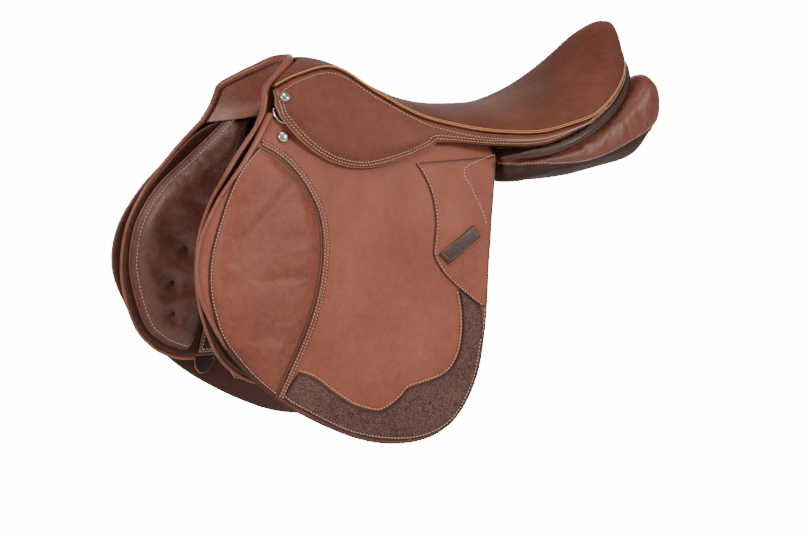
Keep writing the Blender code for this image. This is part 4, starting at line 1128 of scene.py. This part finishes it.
def front_panels():
    """The stuffed front part of the panel, with its piped edge, seam and three tufts."""
    outline = joined(curve(PANEL_FRONT, 3.0), even(PANEL_FRONT_REAR, 3.0),
                     even([PANEL_FRONT_REAR[-1], PANEL_FRONT[0]], 3.0))
    xz, faces, d = fill(outline, 4.0, (0.6, 1.6, 3.0, 5.0, 7.5))

    def outer(p, e):
        return spread(p[:, 1]) + PANEL_OUTER - 1.5 * (1 - rounded(e, 3.0))

    def inner(p, e):
        at_edge = spread(p[:, 1]) + PANEL_OUTER - 3.0
        return at_edge + (panel_inner(p, e) - at_edge) * rounded(e, 9.0)
    points, faces, rim = slab(xz, faces, d, outer, inner)
    at = points[:, [0, 2]]
    near_tuft = np.min([np.linalg.norm(at - tuft, axis=1) for tuft in TUFTS], axis=0)
    held = ((points[:, 1] > spread(at[:, 1]) + PANEL_OUTER - 3.2) | (near_tuft < 5)
            | (distance(at, outline, closed=True) < 6.5))
    points = stuffed(points, faces, held, most=3.0, spare=0.014)
    pieces = sew("front_panel_cushion", (points, faces, rim), FRONT_PANEL, "root",
                 ["panel_front"], worn=0.4)
    front = curve(PANEL_FRONT, 3.0)
    piping = tube(on_side(inset(front, 1.5), PANEL_OUTER - 2.0), 2.0, 12)
    sew("front_panel_piping", piping, PIPING, "root")
    row = inset(front, 5.0)
    path = np.stack([row[:, 0], inner(row, np.full(len(row), 5.0)) - 0.1, row[:, 1]], axis=1)
    sew("front_panel_stitches", stitches(path, INWARD, "front_panel"), CREAM, "root")
    ties = []
    for tx, tz in TUFTS:
        foot = inner(np.array([(tx, tz)], float), np.array([30.0]))[0]
        for k in (-1, 0, 1):
            start = np.array((tx - 2.6, foot - 0.6, tz + k * 1.5 - 0.6))
            ties.append(tube([start, start + (2.6, -0.7, 0.6), start + (5.2, 0, 1.2)], 0.7, 8))
    sew("panel_tufts", merged(ties), DARK, "root")


def sweat_flaps():
    """The sweat flap with its rolled front edge, and the billet guard sewn to its inside."""
    outline = joined(curve(SWEAT_CURVE, 3.0), even(SWEAT_FOOT, 4.0), even(SWEAT_TOP, 4.0))
    layer = sheet_of(outline, 6.0, *LAYERS["sweat_flap"], groove(0.3, 4.0, 1.0))
    sew("sweat_flap_leather", layer, LINING, "root", ["sweat_flap"], worn=0.4)
    run = curve(EDGE_ROLL, 3.0)
    radius = 3.3 - 0.9 * np.clip(np.linspace(0, 2.5, len(run)), 0, 1)
    sew("sweat_flap_roll", tube(run, radius, 16), PIPING, "root")
    guard = sheet_of(polygon(GUARD, 3.0), 5.0, *LAYERS["guard"])
    sew("guard_leather", guard, LINING, "root", ["billet_guard"])
    loop = polygon(drawn_in(GUARD, 0.95, 0.84), 2.0)
    path = on_side(np.vstack([loop, loop[:1]]), GUARD_OUTER - 2.0)
    sew("guard_stitches", stitches(path, INWARD, "guard"), CREAM, "root")


def billets():
    """Girth straps with punched holes, a skived tip and a pale cut edge."""
    for which, (top, tip, face) in BILLETS.items():
        top, tip = np.array(top, float), np.array(tip, float)
        run = (tip - top) / np.linalg.norm(tip - top)
        across = np.array((-run[1], run[0])) * BILLET_WIDTH / 2
        shoulder, middle = tip - run * 16, tip - run * 5
        corners = [top - across, shoulder - across, middle - across * 0.72, tip - across * 0.2,
                   tip + across * 0.2, middle + across * 0.72, shoulder + across, top + across]
        holes = [(*(tip - run * (38 + 14 * k)), 2.2) for k in range(BILLET_HOLES)]
        points, faces, rim = sheet_of(polygon(corners, 2.5), 4.0, face, BILLET_THICKNESS, 1.0, holes=holes,
                                      rims=(0.5, 1.4))
        body = "billet_" + which
        sew("billet_strap_" + which, (points, faces, np.where(rim > 0.75, rim, 0)), BILLET, body,
            [body])
        rows = []
        for sign in (-1, 1):
            line = even([top + across * sign * 0.8, shoulder + across * sign * 0.8], 3.0)
            rows.append(stitched(line, side_at(face - 0.1), "billet"))
            rows.append(stitches(on_side(line, face - BILLET_THICKNESS + 0.1), INWARD, "billet"))
        sew("billet_stitches_" + which, merged(rows), CREAM, body)


# ---------------------------------------------------------------- metal
def deselect():
    bpy.ops.object.select_all(action="DESELECT")


def place_by_hand(obj):
    """Put the object's place, turn and scale into its mesh."""
    deselect()
    obj.select_set(True)
    bpy.context.view_layer.objects.active = obj
    bpy.ops.object.transform_apply(location=True, rotation=True, scale=True)
    return obj


def domed_head(name, at, out, radius, height):
    """A domed nail or stud with a rolled rim and a flat worn crown."""
    deselect()
    bpy.ops.mesh.primitive_uv_sphere_add(segments=32, ring_count=16, radius=radius * MM, location=(0, 0, 0))
    head = bpy.context.active_object
    head.name = name
    bpy.ops.object.mode_set(mode="EDIT")
    bpy.ops.mesh.select_all(action="SELECT")
    bpy.ops.mesh.bisect(plane_co=(0, 0, 0), plane_no=(0, 0, 1), clear_inner=True, use_fill=True)
    bpy.ops.mesh.select_all(action="DESELECT")
    bpy.ops.object.mode_set(mode="OBJECT")
    for face in head.data.polygons:
        face.select = face.normal.z < -0.9
    bpy.ops.object.mode_set(mode="EDIT")
    bpy.ops.mesh.select_mode(type="FACE")
    bpy.ops.mesh.extrude_region_move(TRANSFORM_OT_translate={"value": (0, 0, -0.9 * MM)})
    bpy.ops.mesh.inset(thickness=0.6 * MM)
    bpy.ops.mesh.select_all(action="DESELECT")
    bpy.ops.object.mode_set(mode="OBJECT")
    bevel = head.modifiers.new("rolled_rim", "BEVEL")
    bevel.width = 0.35 * MM
    bevel.segments = 3
    bevel.limit_method = "ANGLE"
    bpy.ops.object.modifier_apply(modifier=bevel.name)
    bpy.ops.object.shade_smooth_by_angle(angle=math.radians(35))
    head.scale = (1, 1, height / radius)
    head.rotation_mode = "QUATERNION"
    head.rotation_quaternion = Vector(out).to_track_quat("Z", "Y")
    head.location = Vector(at) * MM
    head.data.materials.append(NICKEL)
    return place_by_hand(head)


def fasteners():
    """A domed nail on each band and a domed stud on each flap."""
    s, share = NAIL_AT
    top, foot = along(SEAT_EDGE, s), along(BAND_EDGE, s)
    top[2] -= WELT_DROP
    foot[1] = skirt_height(foot[None, [0, 2]])[0]
    nail = top * (1 - share) + foot * share + (0, 1.4, 0.8)
    x, z = STUD_AT
    slope = (spread(z + 5.0) - spread(z - 5.0)) / 10
    heads = (("skirt_nail", nail, np.cross((1.0, 0, 0), top - foot) * (0, -1, -1)),
             ("flap_stud", (x, spread(z), z), (0, 1, -slope)))
    for side, sign in SIDES.items():
        for name, at, out in heads:
            out = Vector((out[0], sign * abs(out[1]), out[2])).normalized()
            base = Vector((at[0], sign * at[1], at[2])) + out * 1.6
            head = domed_head(f"{name}_head_{side}", base, out, HEAD_RADIUS, HEAD_HEIGHT)
            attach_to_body(head, "root")
            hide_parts(f"{name}_{side}")


def dee_rings():
    """The D-ring's bent wire and the leather strap that holds it."""
    px, pz = DEE_PIVOT
    turn = np.radians(np.linspace(0, -180, 30))
    bow = np.stack([px + DEE_RADIUS * np.cos(turn), pz - 3.0 + DEE_RADIUS * 1.15 * np.sin(turn)], axis=1)
    bar = [(px + DEE_RADIUS * share, pz + up)
           for share, up in ((-1, -0.8), (-0.82, 0.3), (0, 0.4), (0.82, 0.3), (1, -0.8))]
    ring = even(np.vstack([bow, curve(bar, 1.0), bow[:1]]), 1.2)[:-1]
    wire = tube(on_side(ring, DEE_LIFT), DEE_WIRE, 14, closed=True)
    sew("dee_wire", wire, NICKEL, "dee", ["dee_ring"])
    bend = [(pz + 8, 4.6), (pz + 3, 5.8), (pz - 1.0, 6.2), (pz - 3.4, 5.6)]
    outer = np.array([[(px + wide, spread(z) + lift - 0.25 * (abs(wide) / 5.0) ** 4, z)
                       for wide in np.linspace(-5.0, 5.0, 7)]
                      for z, lift in along(bend, np.linspace(0, 1, 14))])
    sew("dee_strap", close_grid(outer, outer - (0, 0.9, 0)), DARK, "root", ["dee_loop"])


# ---------------------------------------------------------------- build
def frame_finishes():
    """Better materials for the CAD pieces that stay as they are."""
    kinds = {"tree": TIMBER, "head_plate": STEEL, "seat_webbing": WEBBING, "gullet_lining": LINING,
             "billet_web": WEBBING, "stirrup_bar": STEEL, "bar_catch": STEEL, "catch_pin": STEEL}
    for name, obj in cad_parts.items():
        for kind, finish in kinds.items():
            if name == kind or name.startswith(kind + "_"):
                obj.data.materials.clear()
                obj.data.materials.append(finish)


def seen_glow(tree, socket, unseen, seen):
    """Set a strength to one value where the camera looks and to another for the light it casts."""
    looked_at = tree.nodes.new("ShaderNodeLightPath").outputs["Is Camera Ray"]
    strength = node(tree, "ShaderNodeMapRange", None, Value=looked_at, To_Min=unseen, To_Max=seen)
    tree.links.new(strength.outputs["Result"], socket)


def camera_and_light():
    """The camera, four softboxes, the pale surroundings and the floor below the saddle."""
    camera = bpy.data.objects.new("camera", bpy.data.cameras.new("camera"))
    bpy.context.collection.objects.link(camera)
    target = Vector(CAMERA_TARGET)
    azimuth, elevation = math.radians(CAMERA_AZIMUTH), math.radians(CAMERA_ELEVATION)
    out = Vector((math.sin(azimuth) * math.cos(elevation), -math.cos(azimuth) * math.cos(elevation),
                  math.sin(elevation)))
    camera.location = target + out * CAMERA_AWAY
    camera.rotation_euler = (-out).to_track_quat("-Z", "Y").to_euler()
    camera.data.lens = CAMERA_LENS
    camera.data.sensor_width = CAMERA_SENSOR
    bpy.context.scene.camera = camera
    for name, (at, size, power) in SOFTBOXES.items():
        light = bpy.data.lights.new(name, "AREA")
        light.energy = power
        light.size = size
        obj = bpy.data.objects.new(name, light)
        bpy.context.collection.objects.link(obj)
        obj.location = at
        obj.rotation_euler = (target - Vector(at)).to_track_quat("-Z", "Y").to_euler()
    world = bpy.data.worlds.new("studio")
    bpy.context.scene.world = world
    world.use_nodes = True
    background = world.node_tree.nodes["Background"]
    background.inputs["Color"].default_value = DAYLIGHT
    seen_glow(world.node_tree, background.inputs["Strength"], WORLD_LIGHT, WORLD_SEEN)
    deselect()
    bpy.ops.mesh.primitive_circle_add(vertices=96, radius=FLOOR_RADIUS, fill_type="NGON",
                                      location=(0, 0, FLOOR_Z))
    floor = bpy.context.active_object
    floor.name = "floor"
    place_by_hand(floor)
    paint, tree, shader, place = start_material("pale_floor", roughness=0.9)
    tree.links.new(ramp(tree, noise_at(tree, place, 1.5), [(0.3, (0.88,) * 3), (0.7, (0.93,) * 3)]),
                   shader.inputs["Base Color"])
    shader.inputs["Emission Color"].default_value = DAYLIGHT
    seen_glow(tree, shader.inputs["Emission Strength"], 0.0, FLOOR_SEEN)
    floor.data.materials.append(paint)


for make in (seat, band_and_skirt, welts, cantle_rolls, pommel, flaps, knee_pads, grip_patches, rear_patches,
             rear_panels, front_panels, sweat_flaps, billets, fasteners, dee_rings, frame_finishes,
             camera_and_light):
    make()

bpy.context.view_layer.update()
